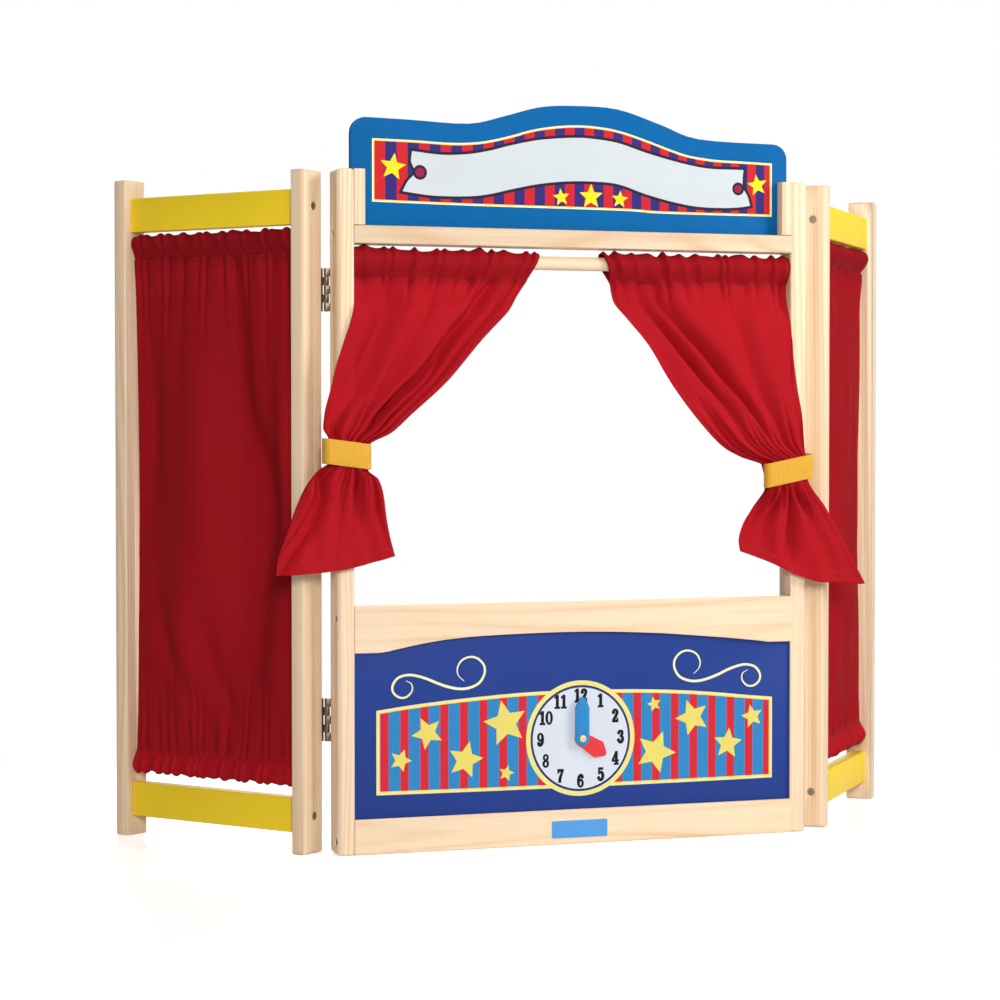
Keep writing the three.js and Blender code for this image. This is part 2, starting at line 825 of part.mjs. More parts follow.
for (const [word, side, form] of [['left', -1, left_form], ['right', 1, right_form]]) {
  addPiece(theater, `${word}_stage_post`, stagePost(side), pine);
  addPiece(theater, `${word}_front_cleat`, cleat(side, front, front + front_cleat_depth), pine);
  addPiece(theater, `${word}_rear_cleat`, cleat(side, sign_back + gap, back), pine);
  addPiece(theater, `${word}_stage_curtain`, tiedCurtain(side, form), red_cloth);
  addPiece(theater, `${word}_tie_strap`, tieStrap(side, form), yellow_webbing);
  const names = ['top', 'sill', 'bottom'];
  stage_screws.forEach(([y, z], index) => {
    const name = `${word}_${names[index]}_rail_screw`;
    addPiece(theater, name, screw(side * half_width, y, z, -side), screw_steel);
  });
}

// Wings: built in their own group, whose origin is the hinge axis at floor
// level, with the wing's length along X and its front towards -Y

const wing_front = front - pivot_y;
const wing_back = back - pivot_y;
const wing_middle = middle - pivot_y;
const wing_start = hinge_spacing_to_post_gap / 2;
const wing_end = wing_start + wing_width;
const wing_inner_start = wing_start + post_width;
const wing_inner_end = wing_end - post_width;
const wing_rail_near = wing_middle - rail_depth / 2;
const wing_rail_far = wing_middle + rail_depth / 2;
const wing_top_rail_top = post_height - wing_rail_top_inset;
const wing_top_rail_bottom = wing_top_rail_top - wing_rail_height;
const wing_bottom_rail_top = wing_rail_bottom_inset + wing_rail_height;
const upper_rod_z = wing_top_rail_bottom - wing_rod_drop;
const lower_rod_z = wing_bottom_rail_top + wing_rod_rise;
const wing_screw_heights = {
  top: (wing_top_rail_top + wing_top_rail_bottom) / 2,
  bottom: (wing_rail_bottom_inset + wing_bottom_rail_top) / 2,
};

function wingPost(side, inner, outer) {
  const inward = Math.sign(inner - outer) * side;
  const sockets = [upper_rod_z, lower_rod_z].map((z) => roundBar(
    [side * inner + inward * overrun, wing_middle, z],
    [side * inner - inward * rod_socket_depth, wing_middle, z],
    wing_rod_radius + gap, rod_segments));
  const holes = Object.values(wing_screw_heights).map(
    (z) => screwHole(side * outer, wing_middle, z, inward));
  return cut(post(side * inner, side * outer, wing_front, wing_back), [...sockets, ...holes]);
}

function wingRail(side, bottom, top, screw_z) {
  const ends = [side * (wing_inner_start + gap), side * (wing_inner_end - gap)];
  const bar = crossBar(Math.min(...ends), Math.max(...ends), wing_rail_near, wing_rail_far,
    bottom, top);
  return cut(bar, [
    screwHole(side * wing_start, wing_middle, screw_z, side),
    screwHole(side * wing_end, wing_middle, screw_z, -side),
  ]);
}

const wing_row_shares = [0, 0.05, 0.15, 0.32, 0.5, 0.68, 0.85, 0.95, 1];
const wing_slack_shares = [0.45, 0.7, 1, 1, 1, 1, 1, 0.7, 0.45];

function wingCurtain(side) {
  const upper = pocketRows(upper_rod_z, wing_rod_radius);
  const lower = pocketRows(lower_rod_z, wing_rod_radius);
  const upper_seam = upper_rod_z - wing_seam_offset;
  const lower_seam = lower_rod_z + wing_seam_offset;
  const between = wing_row_shares.map((share, index) => ({
    z: THREE.MathUtils.lerp(upper_seam, lower_seam, share),
    half: cloth_half,
    fold: wing_fold_depth * wing_slack_shares[index],
  }));
  const rows = [...upper, ...between, ...lower];
  const start = wing_inner_start + gap;
  const end = wing_inner_end - gap;
  const place = (across, index) => {
    const { z, half, fold } = rows[index];
    const x = side * THREE.MathUtils.lerp(start, end, across);
    const y = wing_middle + fold * Math.cos(2 * half_turn * wing_fold_count * across);
    return [[x, y - half, z], [x, y + half, z]];
  };
  const bores = [upper_rod_z, lower_rod_z].map((z) => roundBar(
    [0, wing_middle, z], [side * (wing_end + overrun), wing_middle, z],
    wing_rod_radius + gap, rod_segments));
  return cut(sheet(wing_columns, rows.length - 1, place), bores);
}

function wingRod(side, z) {
  const start = wing_inner_start - rod_socket_depth + gap;
  const end = wing_inner_end + rod_socket_depth - gap;
  return roundBar([side * start, wing_middle, z], [side * end, wing_middle, z],
    wing_rod_radius, rod_segments);
}

// Butt hinges: two leaves whose knuckles take turns on the pin. Here the axis
// is the group's own, and a leaf lies on the back of its post

const leaf_near = -pivot_standoff + gap;
const leaf_far = leaf_near + hinge_leaf_thickness;
const knuckle_pitch = hinge_height / hinge_knuckles;

function hingeLeaf(direction, parity, centre) {
  const bottom = centre - hinge_height / 2;
  const start = hinge_knuckle_radius + 2 * gap;
  const end = start + hinge_leaf_width;
  const plate_ends = [direction * start, direction * end];
  const pieces = [block(
    [Math.min(...plate_ends), leaf_near, bottom],
    [Math.max(...plate_ends), leaf_far, bottom + hinge_height])];
  for (let index = parity; index < hinge_knuckles; index += 2) {
    const low = bottom + index * knuckle_pitch + gap / 2;
    const high = low + knuckle_pitch - gap;
    const tab_ends = [0, direction * (start + gap)];
    pieces.push(block(
      [Math.min(...tab_ends), leaf_near, low], [Math.max(...tab_ends), leaf_far, high]));
    pieces.push(roundBar([0, 0, low], [0, 0, high], hinge_knuckle_radius, knuckle_segments));
  }
  const bore = roundBar([0, 0, bottom - overrun], [0, 0, bottom + hinge_height + overrun],
    hinge_pin_radius + gap, knuckle_segments);
  const holes = [-1, 1].map((level) => {
    const x = direction * (start + hinge_screw_inset);
    const z = centre + level * hinge_height / 4;
    return roundBar([x, leaf_near - overrun, z], [x, leaf_far + overrun, z],
      hinge_screw_radius, hinge_hole_segments);
  });
  return cut(join(pieces), [bore, ...holes]);
}

function hingePin(centre) {
  return roundBar([0, 0, centre - hinge_height / 2], [0, 0, centre + hinge_height / 2],
    hinge_pin_radius, knuckle_segments);
}

const hinge_levels = [['upper', upper_hinge_height], ['lower', lower_hinge_height]];

for (const [word, side, angle] of [
  ['left', -1, left_wing_angle_deg],
  ['right', 1, right_wing_angle_deg],
]) {
  const axis = new THREE.Group();
  axis.position.set(side * pivot_x, pivot_y, 0);
  const wing = new THREE.Group();
  wing.rotation.z = side * radians(angle);
  axis.add(wing);
  theater.add(axis);

  addPiece(wing, `${word}_wing_near_post`, wingPost(side, wing_inner_start, wing_start), pine);
  addPiece(wing, `${word}_wing_far_post`, wingPost(side, wing_inner_end, wing_end), pine);
  addPiece(wing, `${word}_wing_top_rail`, wingRail(side, wing_top_rail_bottom,
    wing_top_rail_top, wing_screw_heights.top), yellow_paint);
  addPiece(wing, `${word}_wing_bottom_rail`, wingRail(side, wing_rail_bottom_inset,
    wing_bottom_rail_top, wing_screw_heights.bottom), yellow_paint);
  addPiece(wing, `${word}_wing_upper_rod`, wingRod(side, upper_rod_z), pine);
  addPiece(wing, `${word}_wing_lower_rod`, wingRod(side, lower_rod_z), pine);
  addPiece(wing, `${word}_wing_curtain`, wingCurtain(side), red_cloth);
  for (const [level, z] of Object.entries(wing_screw_heights)) {
    addPiece(wing, `${word}_wing_near_${level}_screw`,
      screw(side * wing_start, wing_middle, z, side), screw_steel);
    addPiece(wing, `${word}_wing_far_${level}_screw`,
      screw(side * wing_end, wing_middle, z, -side), screw_steel);
  }
  for (const [level, z] of hinge_levels) {
    addPiece(axis, `${word}_${level}_hinge_stage_leaf`, hingeLeaf(-side, 0, z), hinge_steel);
    addPiece(wing, `${word}_${level}_hinge_wing_leaf`, hingeLeaf(side, 1, z), hinge_steel);
    addPiece(axis, `${word}_${level}_hinge_pin`, hingePin(z), hinge_steel);
  }
}

export default theater;
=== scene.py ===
# The looks of a tabletop puppet theater: wood, paint, prints, cloth, webbing and
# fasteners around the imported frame, with a plain studio and its camera.
# Laid out as an add-on: settings, one operator for each group of pieces, a panel.

import json
import math
from types import SimpleNamespace

import bmesh
import bpy
import numpy as np
from bpy.props import FloatProperty, FloatVectorProperty, PointerProperty
from mathutils import Matrix, Vector
from mathutils.geometry import delaunay_2d_cdt

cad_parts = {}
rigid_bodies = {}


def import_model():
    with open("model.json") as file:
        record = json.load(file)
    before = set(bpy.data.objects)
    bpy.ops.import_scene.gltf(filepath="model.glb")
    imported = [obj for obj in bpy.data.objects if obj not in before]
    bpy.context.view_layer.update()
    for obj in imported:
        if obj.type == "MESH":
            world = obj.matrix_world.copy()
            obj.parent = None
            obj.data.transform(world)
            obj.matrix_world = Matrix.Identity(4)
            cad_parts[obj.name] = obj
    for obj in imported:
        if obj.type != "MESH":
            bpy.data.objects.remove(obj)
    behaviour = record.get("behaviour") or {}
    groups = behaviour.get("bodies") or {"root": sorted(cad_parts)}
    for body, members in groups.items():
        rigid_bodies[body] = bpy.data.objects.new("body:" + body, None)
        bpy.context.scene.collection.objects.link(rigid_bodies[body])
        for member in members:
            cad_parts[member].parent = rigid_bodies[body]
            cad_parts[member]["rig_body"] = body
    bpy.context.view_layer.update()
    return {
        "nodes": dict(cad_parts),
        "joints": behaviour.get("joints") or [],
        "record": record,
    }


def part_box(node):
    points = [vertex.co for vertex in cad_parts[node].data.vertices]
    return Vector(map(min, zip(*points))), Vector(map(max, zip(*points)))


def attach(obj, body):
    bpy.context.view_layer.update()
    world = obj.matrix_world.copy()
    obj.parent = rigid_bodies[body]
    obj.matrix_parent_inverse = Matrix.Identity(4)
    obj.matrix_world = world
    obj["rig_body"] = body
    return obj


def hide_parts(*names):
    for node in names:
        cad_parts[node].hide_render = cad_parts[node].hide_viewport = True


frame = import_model()

bl_info = {
    "name": "Puppet Theater Looks",
    "version": (1, 0, 0),
    "blender": (4, 5, 0),
    "location": "View3D > Sidebar > Theater",
    "description": "Dresses a tabletop puppet theater with wood, prints, curtains and fasteners",
    "category": "Object",
}

MM = 0.001


# Places read from the frame, in millimetres

def corners(node):
    """Lowest and highest corner of a node, in millimetres."""
    low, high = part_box(node)
    return low / MM, high / MM


stage_low, stage_high = corners("left_stage_post")
post_inner = -stage_high.x
half_width = -stage_low.x
post_width = half_width - post_inner
front_y = stage_low.y
back_y = stage_high.y
middle_y = (front_y + back_y) / 2
board_front = corners("sign_board")[0].y
panel_front = corners("apron_panel")[0].y
rail_front = corners("bottom_rail")[0].y
rod_low, rod_high = corners("stage_rod")
rod_height = (rod_low.z + rod_high.z) / 2
rod_radius = (rod_high.z - rod_low.z) / 2
pin_low, pin_high = corners("clock_pin")
dial_centre = Vector(((pin_low.x + pin_high.x) / 2, (pin_low.z + pin_high.z) / 2))
joints = {joint["name"]: joint for joint in frame["joints"]}
side_names = {-1: "left", 1: "right"}


def linear(red, green, blue):
    """A colour as a screen shows it, as the linear values that Blender works in."""
    def channel(value):
        return value / 12.92 if value <= 0.04045 else ((value + 0.055) / 1.055) ** 2.4
    return channel(red), channel(green), channel(blue)


# Settings that a user may change

def colour_setting(name, description, *shown):
    return FloatVectorProperty(
        name=name, description=description, default=linear(*shown), subtype="COLOR",
        min=0, max=1)


def length_setting(name, description, millimetres):
    return FloatProperty(
        name=name, description=description, default=millimetres * MM, unit="LENGTH",
        subtype="DISTANCE", min=0)


class TheaterColours(bpy.types.PropertyGroup):
    """Colours of the theater's finishes"""

    pine_pale: colour_setting("Pale pine", "Wood between the growth lines", 0.955, 0.855, 0.725)
    pine_grain: colour_setting("Pine grain", "Growth lines of the wood", 0.86, 0.67, 0.475)
    yellow_paint: colour_setting("Yellow paint", "Rails of the wings", 0.985, 0.845, 0.18)
    sign_blue: colour_setting("Sign blue", "Painted sign board", 0.0, 0.375, 0.62)
    navy: colour_setting("Navy", "Ground of the apron print", 0.15, 0.245, 0.535)
    cloth: colour_setting("Cloth", "Curtains", 0.70, 0.075, 0.12)
    webbing: colour_setting("Webbing", "Tie straps", 0.955, 0.71, 0.16)
    hinge: colour_setting("Hinge steel", "Leaves and pins of the hinges", 0.45, 0.39, 0.33)
    screw: colour_setting("Screw steel", "Screws", 0.62, 0.58, 0.52)
    minute_hand: colour_setting("Minute hand", "Long clock hand", 0.01, 0.49, 0.73)
    hour_hand: colour_setting("Hour hand", "Short clock hand", 0.86, 0.12, 0.17)
    brass: colour_setting("Brass", "Pin of the clock", 0.86, 0.76, 0.60)
    floor: colour_setting("Floor", "Floor and backdrop of the studio", 0.87, 0.87, 0.87)


class TheaterSizes(bpy.types.PropertyGroup):
    """Sizes of the theater's finishes"""

    edge_round: length_setting("Edge round", "Radius on the edges of the wood", 0.5)
    ink_thickness: length_setting("Ink thickness", "How far the prints stand proud", 0.1)
    plate_thickness: length_setting("Plate thickness", "Bare plate on the bottom rail", 0.4)
    cloth_thickness: length_setting("Cloth thickness", "Thickness of the curtains", 0.5)
    webbing_thickness: length_setting("Webbing thickness", "Thickness of the tie straps", 1.2)
    recess_width: length_setting("Recess width", "Width of the cross in a screw head", 1.0)
    camera_lens: FloatProperty(
        name="Camera lens", description="Focal length on a 36 mm sensor", default=97.26,
        unit="CAMERA", min=1)


def colours():
    return bpy.context.scene.theater_colours


def sizes():
    return bpy.context.scene.theater_sizes


# Materials

class Recipe:
    """The nodes of one material or world, put together node by node."""

    def __init__(self, owner):
        owner.use_nodes = True
        self.owner = owner
        self.tree = owner.node_tree
        self.tree.nodes.clear()

    def feed(self, socket, value):
        if isinstance(value, bpy.types.NodeSocket):
            self.tree.links.new(value, socket)
        elif socket.type == "RGBA" and len(value) == 3:
            socket.default_value = (*value, 1)
        else:
            socket.default_value = value

    def node(self, kind, inputs=None, **settings):
        made = self.tree.nodes.new("ShaderNode" + kind)
        for key, value in settings.items():
            setattr(made, key, value)
        for key, value in (inputs or {}).items():
            self.feed(made.inputs[key], value)
        return made

    def math(self, operation, *values):
        return self.node("Math", dict(enumerate(values)), operation=operation).outputs[0]

    def object_place(self):
        return self.node("TexCoord").outputs["Object"]

    def cloth_place(self):
        return self.node("TexCoord").outputs["UV"]

    def mapped(self, vector, scale):
        return self.node("Mapping", {"Vector": vector, "Scale": scale}).outputs[0]

    def noise(self, vector, scale, detail=2.0, roughness=0.5):
        return self.node("TexNoise", {
            "Vector": vector, "Scale": scale, "Detail": detail, "Roughness": roughness,
        }).outputs[0]

    def between(self, factor, low, high, new_low=0.0, new_high=1.0):
        """A value carried from one range to another, and held at its ends."""
        return self.node("MapRange", {
            0: factor, 1: low, 2: high, 3: new_low, 4: new_high}).outputs[0]

    def mix(self, factor, first, second):
        made = self.node("Mix", data_type="RGBA")
        for index, value in ((0, factor), (6, first), (7, second)):
            self.feed(made.inputs[index], value)
        return made.outputs[2]

    def bump(self, height, distance, strength=1.0, normal=None):
        made = self.node("Bump", {"Height": height, "Distance": distance, "Strength": strength})
        if normal is not None:
            self.feed(made.inputs["Normal"], normal)
        return made.outputs[0]

    def surface(self, colour, roughness, normal=None, **constants):
        inputs = {"Base Color": colour, "Roughness": roughness}
        if normal is not None:
            inputs["Normal"] = normal
        for key, value in constants.items():
            inputs[key.replace("_", " ").title().replace("Ior", "IOR")] = value
        shader = self.node("BsdfPrincipled", inputs)
        output = self.node("OutputMaterial")
        self.tree.links.new(shader.outputs[0], output.inputs["Surface"])
        return self.owner


def new_finish(name):
    return Recipe(bpy.data.materials.new(name))


materials = {}


def material(name, build, *arguments):
    """The material of that name, made the first time that it is asked for."""
    if name not in materials:
        materials[name] = build(name, *arguments)
    return materials[name]


def darker(colour, share):
    return tuple(channel * share for channel in colour)


# Pine: sizes in millimetres, and the noise scales along the grain and across it
ring_pitch = 3.4
pine_relief = 0.06
drift_scales = (1.6, 9)
presence_scales = (2.2, 55)
fibre_scales = (11, 900)
streak_scales = (1.3, 130)
cloud_scales = (1.1, 14)
upright_pith = (90, 310)
upright_wander = 22
level_pith_depth = 75
level_pith_share = 0.35
level_wander = 50
dowel_pith = (30, 600)
# Boards drawn darker than the others, by this share of their colour
darkened_boards = {"top_rail": 0.84}


def wood(name, along, pith, wander=upright_wander, tone=1):
    """Varnished pine. Its growth rings lie round a pith that runs along one axis, and wander
    off their circles by so many millimetres."""
    recipe = new_finish(name)
    axes = recipe.node("SeparateXYZ", {0: recipe.object_place()}).outputs
    order = {"X": (0, 1, 2), "Z": (2, 0, 1)}[along]
    length, across, depth = (axes[index] for index in order)

    def stretched(along_scale, cross_scale):
        return recipe.node("CombineXYZ", {
            0: recipe.math("MULTIPLY", length, along_scale),
            1: recipe.math("MULTIPLY", across, cross_scale),
            2: recipe.math("MULTIPLY", depth, cross_scale),
        }).outputs[0]

    drift = recipe.noise(stretched(*drift_scales), 1, 1.5)
    shifted = [
        recipe.math("POWER", recipe.math("SUBTRACT", axis, place * MM), 2)
        for axis, place in zip((across, depth), pith)
    ]
    distance = recipe.math("SQRT", recipe.math("ADD", *shifted))
    bent = recipe.math("ADD", distance, recipe.math("MULTIPLY", drift, wander * MM))
    phase = recipe.math("MULTIPLY", bent, 2 * math.pi / (ring_pitch * MM))
    wave = recipe.math("ADD", recipe.math("MULTIPLY", recipe.math("SINE", phase), 0.5), 0.5)
    late = recipe.math("POWER", wave, 2.6)
    presence = recipe.between(
        recipe.noise(stretched(*presence_scales), 1, 2), 0.38, 0.66, 0.15, 1)
    ring = recipe.math("MULTIPLY", late, presence)
    fibre = recipe.noise(stretched(*fibre_scales), 1, 3, 0.65)
    streak = recipe.between(recipe.noise(stretched(*streak_scales), 1, 2, 0.6), 0.5, 0.72)

    settings = colours()
    # A tone below 1 draws the board's colours darker
    pale = darker(tuple(settings.pine_pale), tone)
    grain = darker(tuple(settings.pine_grain), tone)
    broad = recipe.noise(stretched(*cloud_scales), 1, 2)
    base = recipe.mix(recipe.between(broad, 0.3, 0.7), pale, darker(pale, 0.93))
    lined = recipe.mix(recipe.math("MULTIPLY", ring, 0.62), base, grain)
    streaked = recipe.mix(recipe.math("MULTIPLY", streak, 0.34), lined, darker(grain, 0.9))
    fibred = recipe.mix(recipe.between(fibre, 0.35, 0.75, 0, 0.16), streaked, darker(grain, 0.8))
    roughness = recipe.between(fibre, 0.3, 0.7, 0.44, 0.56)
    height = recipe.math("MULTIPLY", recipe.math("ADD", fibre, ring), 0.5)
    return recipe.surface(
        fibred, roughness, recipe.bump(height, pine_relief * MM, 0.5), specular_ior_level=0.3)


def upright_wood():
    return material("upright_pine", wood, "Z", upright_pith)


def level_wood(node):
    low, high = corners(node)
    pith = (level_pith_depth, low.z + level_pith_share * (high.z - low.z))
    return material(node + "_pine", wood, "X", pith, level_wander, darkened_boards.get(node, 1))


def dowel_wood():
    return material("dowel_pine", wood, "X", dowel_pith)


# Paint: reliefs in millimetres, and the noise scales of its marks
brushed_scales = (6, 500, 500)
rolled_scales = (60, 60, 60)
paint_cloud_scale = 14
paint_relief = 0.05


def paint(name, colour, gloss, mark_scales):
    """Satin paint with a trace of brush marks and slightly uneven colour."""
    recipe = new_finish(name)
    place = recipe.object_place()
    marks = recipe.noise(recipe.mapped(place, mark_scales), 1, 3, 0.6)
    cloudy = recipe.noise(place, paint_cloud_scale, 3)
    varied = recipe.mix(recipe.between(cloudy, 0.3, 0.7, 0, 0.5), colour, darker(colour, 0.9))
    marked = recipe.mix(recipe.between(marks, 0.4, 0.75, 0, 0.12), varied, darker(colour, 0.72))
    roughness = recipe.between(marks, 0.3, 0.7, gloss, gloss + 0.1)
    return recipe.surface(
        marked, roughness, recipe.bump(marks, paint_relief * MM, 0.35), specular_ior_level=0.1)


def yellow_paint():
    return material("yellow_paint", paint, tuple(colours().yellow_paint), 0.42, brushed_scales)


def sign_blue():
    return material("sign_blue_paint", paint, tuple(colours().sign_blue), 0.55, rolled_scales)


def navy_board():
    return material("navy_print_ground", paint, tuple(colours().navy), 0.42, rolled_scales)


ink_grain_scale = 1600
ink_cloud_scale = 22
ink_relief = 0.02


def ink(name, *shown):
    """Screen-printed ink: even, satin, with a fine dot grain."""
    def build(material_name):
        recipe = new_finish(material_name)
        place = recipe.object_place()
        colour = linear(*shown)
        grain = recipe.noise(place, ink_grain_scale, 2, 0.6)
        cloudy = recipe.noise(place, ink_cloud_scale, 2)
        clouded = recipe.mix(recipe.between(cloudy, 0.3, 0.7, 0, 0.45), colour, darker(colour, 0.9))
        dotted = recipe.mix(recipe.between(grain, 0.45, 0.8, 0, 0.2), clouded, darker(colour, 0.75))
        return recipe.surface(
            dotted, 0.5, recipe.bump(grain, ink_relief * MM, 0.2), specular_ior_level=0.15)
    return material("ink_" + name, build)


# Cloth and webbing: sizes in millimetres, and noise scales across and along the piece
weave_pitch = 0.62
weave_relief = 0.07
slub_scales = (900, 60, 1)
crease_scales = (26, 14, 1)
crease_relief = 1.2
shade_scales = (9, 5, 1)
thread_twist_scale = 3000
rib_pitch = 1.7
row_pitch = 1.3
webbing_relief = 0.3
wear_scales = (120, 500, 1)


def waved(recipe, axis, pitch):
    """A wave along an axis, from -1 to 1, its pitch in millimetres."""
    return recipe.math("SINE", recipe.math("MULTIPLY", axis, 2 * math.pi / (pitch * MM)))


def cloth(name, colour, shaded_casings):
    """Plain woven cloth: weave, slubs and faint creases. The shaded casings are the stretches of
    its length where it is doubled; they are drawn darker as painted shade, for the lesser light
    that comes through doubled cloth."""
    recipe = new_finish(name)
    place = recipe.cloth_place()
    axes = recipe.node("SeparateXYZ", {0: place}).outputs
    warp, weft = (waved(recipe, axis, weave_pitch) for axis in (axes[0], axes[1]))
    threads = recipe.math("MULTIPLY", warp, weft)
    slubs = recipe.noise(recipe.mapped(place, slub_scales), 1, 2, 0.6)
    creases = recipe.noise(recipe.mapped(place, crease_scales), 1, 4, 0.55)
    broad = recipe.noise(recipe.mapped(place, shade_scales), 1, 2)
    shaded = recipe.mix(recipe.between(broad, 0.3, 0.7), colour, darker(colour, 0.84))
    slubbed = recipe.mix(recipe.between(slubs, 0.45, 0.75, 0, 0.22), shaded, darker(colour, 0.7))
    woven = recipe.mix(recipe.between(threads, -1, 1, 0, 0.2), slubbed, darker(colour, 0.6))
    toned = woven
    for start, end in shaded_casings:
        # Painted shade: the doubled casings are darkened, since less light comes through two layers
        # of cloth
        doubled = recipe.between(axes[1], start, end, 0.34, 0)
        toned = recipe.mix(doubled, toned, darker(colour, 0.3))
    fine = recipe.bump(threads, weave_relief * MM, 0.35)
    normal = recipe.bump(creases, crease_relief * MM, 0.3, fine)
    return recipe.surface(
        toned, recipe.between(slubs, 0.3, 0.7, 0.76, 0.88), normal, specular_ior_level=0.1)


def curtain_cloth(word, shaded_casings):
    return material(word + "_curtain_cloth", cloth, tuple(colours().cloth), shaded_casings)


def thread_material():
    def build(name):
        recipe = new_finish(name)
        colour = darker(tuple(colours().cloth), 0.62)
        twist = recipe.noise(recipe.object_place(), thread_twist_scale, 1)
        return recipe.surface(
            recipe.mix(recipe.between(twist, 0.4, 0.6), colour, darker(colour, 0.6)),
            0.6, sheen_weight=0.03)
    return material("red_thread", build)


def webbing(name, colour):
    """Woven webbing: ribs along it, rows of dots across, and a firm edge. The low places of its
    weave get painted shade.
    """
    recipe = new_finish(name)
    axes = recipe.node("SeparateXYZ", {0: recipe.cloth_place()}).outputs
    rib, row = waved(recipe, axes[0], rib_pitch), waved(recipe, axes[1], row_pitch)
    dots = recipe.math("MULTIPLY", rib, row)
    height = recipe.math("ADD", dots, recipe.math("MULTIPLY", rib, 0.45))
    worn = recipe.noise(recipe.mapped(recipe.cloth_place(), wear_scales), 1, 3)
    # Painted shade: the low places of the weave are drawn darker, down to half the colour
    shaded = recipe.mix(recipe.between(height, -1.2, 0.9, 0.75, 0), colour, darker(colour, 0.5))
    varied = recipe.mix(recipe.between(worn, 0.35, 0.75, 0, 0.25), shaded, darker(colour, 0.8))
    return recipe.surface(
        varied, 0.62, recipe.bump(height, webbing_relief * MM, 0.7),
        sheen_weight=0.1, sheen_roughness=0.4)


def strap_webbing():
    return material("yellow_webbing", webbing, tuple(colours().webbing))


# Metal and plastic: reliefs in millimetres, and the noise scales of their marks
upright_drawn_scales = (40, 40, 900)
screw_scales = (500, 500, 500)
pin_scales = (300, 300, 300)
spot_scale = 240
plating_relief = 0.04
moulded_wave_scale = 90
scuff_scales = (1400, 300, 1400)
moulded_relief = 0.3


def metal(name, colour, roughness, brushed):
    """Dull plated metal with drawn lines and a few darker spots."""
    recipe = new_finish(name)
    place = recipe.object_place()
    lines = recipe.noise(recipe.mapped(place, brushed), 1, 3, 0.6)
    spots = recipe.noise(place, spot_scale, 3, 0.6)
    toned = recipe.mix(recipe.between(spots, 0.5, 0.8, 0, 0.5), colour, darker(colour, 0.5))
    lined = recipe.mix(recipe.between(lines, 0.4, 0.7, 0, 0.25), toned, darker(colour, 0.7))
    return recipe.surface(
        lined, recipe.between(lines, 0.3, 0.7, roughness, roughness + 0.15),
        recipe.bump(lines, plating_relief * MM, 0.3), metallic=0.85)


def hinge_metal():
    return material(
        "hinge_plating", metal, tuple(colours().hinge), 0.38, upright_drawn_scales)


def screw_metal():
    return material("screw_plating", metal, tuple(colours().screw), 0.32, screw_scales)


def pin_brass():
    return material("dull_brass", metal, tuple(colours().brass), 0.3, pin_scales)


def plastic(name, colour):
    """Moulded plastic: smooth, a little wavy, with fine scuffs."""
    recipe = new_finish(name)
    place = recipe.object_place()
    swells = recipe.noise(place, moulded_wave_scale, 2)
    scuffs = recipe.noise(recipe.mapped(place, scuff_scales), 1, 4, 0.7)
    toned = recipe.mix(recipe.between(swells, 0.3, 0.7, 0, 0.4), colour, darker(colour, 0.92))
    return recipe.surface(
        toned, recipe.between(scuffs, 0.45, 0.75, 0.3, 0.46),
        recipe.bump(swells, moulded_relief * MM, 0.25), coat_weight=0.1, coat_roughness=0.15)


# Mesh helpers, with their sizes in millimetres

level_within = 0.1
weld_distance = 0.02
weld_angle = math.radians(0.4)
soft_edge_angle = math.radians(30)
hard_edge_angle = math.radians(35)
end_edge_angle = math.radians(45)
end_normal_share = 0.9


def piece_from(name, mesh, body, slot, finish):
    """A new piece that moves with a body and takes one finish."""
    piece = bpy.data.objects.new(name, mesh)
    bpy.context.scene.collection.objects.link(piece)
    if finish is not None:
        mesh.materials.clear()
        mesh.materials.append(finish)
    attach(piece, body)
    return piece


def record_slot(node):
    rows = frame["record"]["subparts"]
    return next(row["material_slot"] for row in rows if row["node"] == node)


def mark_ends(work):
    """Marks the outer edges round the top and the foot of an upright."""
    layer = work.edges.layers.float.new("bevel_weight_edge")
    places = np.array([vertex.co for vertex in work.verts])

    def outermost(face):
        beyond = (places - np.array(face.verts[0].co)) @ np.array(face.normal)
        return np.all(beyond < level_within * MM)

    for edge in work.edges:
        level = abs(edge.verts[0].co.z - edge.verts[1].co.z) < level_within * MM
        if level and len(edge.link_faces) == 2 and edge.calc_face_angle(0) > end_edge_angle:
            ends = any(abs(face.normal.z) > end_normal_share for face in edge.link_faces)
            if ends and all(outermost(face) for face in edge.link_faces):
                edge[layer] = 1


def soften(piece, width):
    """Rounds the sharp edges of a piece."""
    softened = piece.modifiers.new("softened_edges", "BEVEL")
    softened.limit_method = "ANGLE"
    softened.angle_limit = soft_edge_angle
    softened.width = width
    softened.segments = 2
    softened.harden_normals = True


def dressed(node, finish, edge_round=None, end_round=None):
    """A clean copy of a rigid node with softened edges, which stands for the node."""
    source = frame["nodes"][node]
    work = bmesh.new()
    work.from_mesh(source.data)
    bmesh.ops.remove_doubles(work, verts=work.verts, dist=weld_distance * MM)
    bmesh.ops.dissolve_limit(
        work, angle_limit=weld_angle, verts=work.verts, edges=work.edges)
    for face in work.faces:
        face.smooth = True
        face.material_index = 0
    if end_round is not None:
        mark_ends(work)
    mesh = bpy.data.meshes.new(node + "_finished")
    work.to_mesh(mesh)
    work.free()
    piece = piece_from(node + "_finished", mesh, source["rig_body"], record_slot(node), finish)
    if end_round is not None:
        rounded = piece.modifiers.new("rounded_ends", "BEVEL")
        rounded.limit_method = "WEIGHT"
        rounded.width = end_round * MM
        rounded.segments = 4
        rounded.use_clamp_overlap = False
    soften(piece, sizes().edge_round if edge_round is None else edge_round * MM)
    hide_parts(node)


def mesh_from(name, vertices, faces):
    mesh = bpy.data.meshes.new(name)
    mesh.from_pydata([Vector(vertex) * MM for vertex in vertices], [], faces)
    mesh.validate()
    mesh.polygons.foreach_set("use_smooth", [True] * len(mesh.polygons))
    mesh.update()
    return mesh


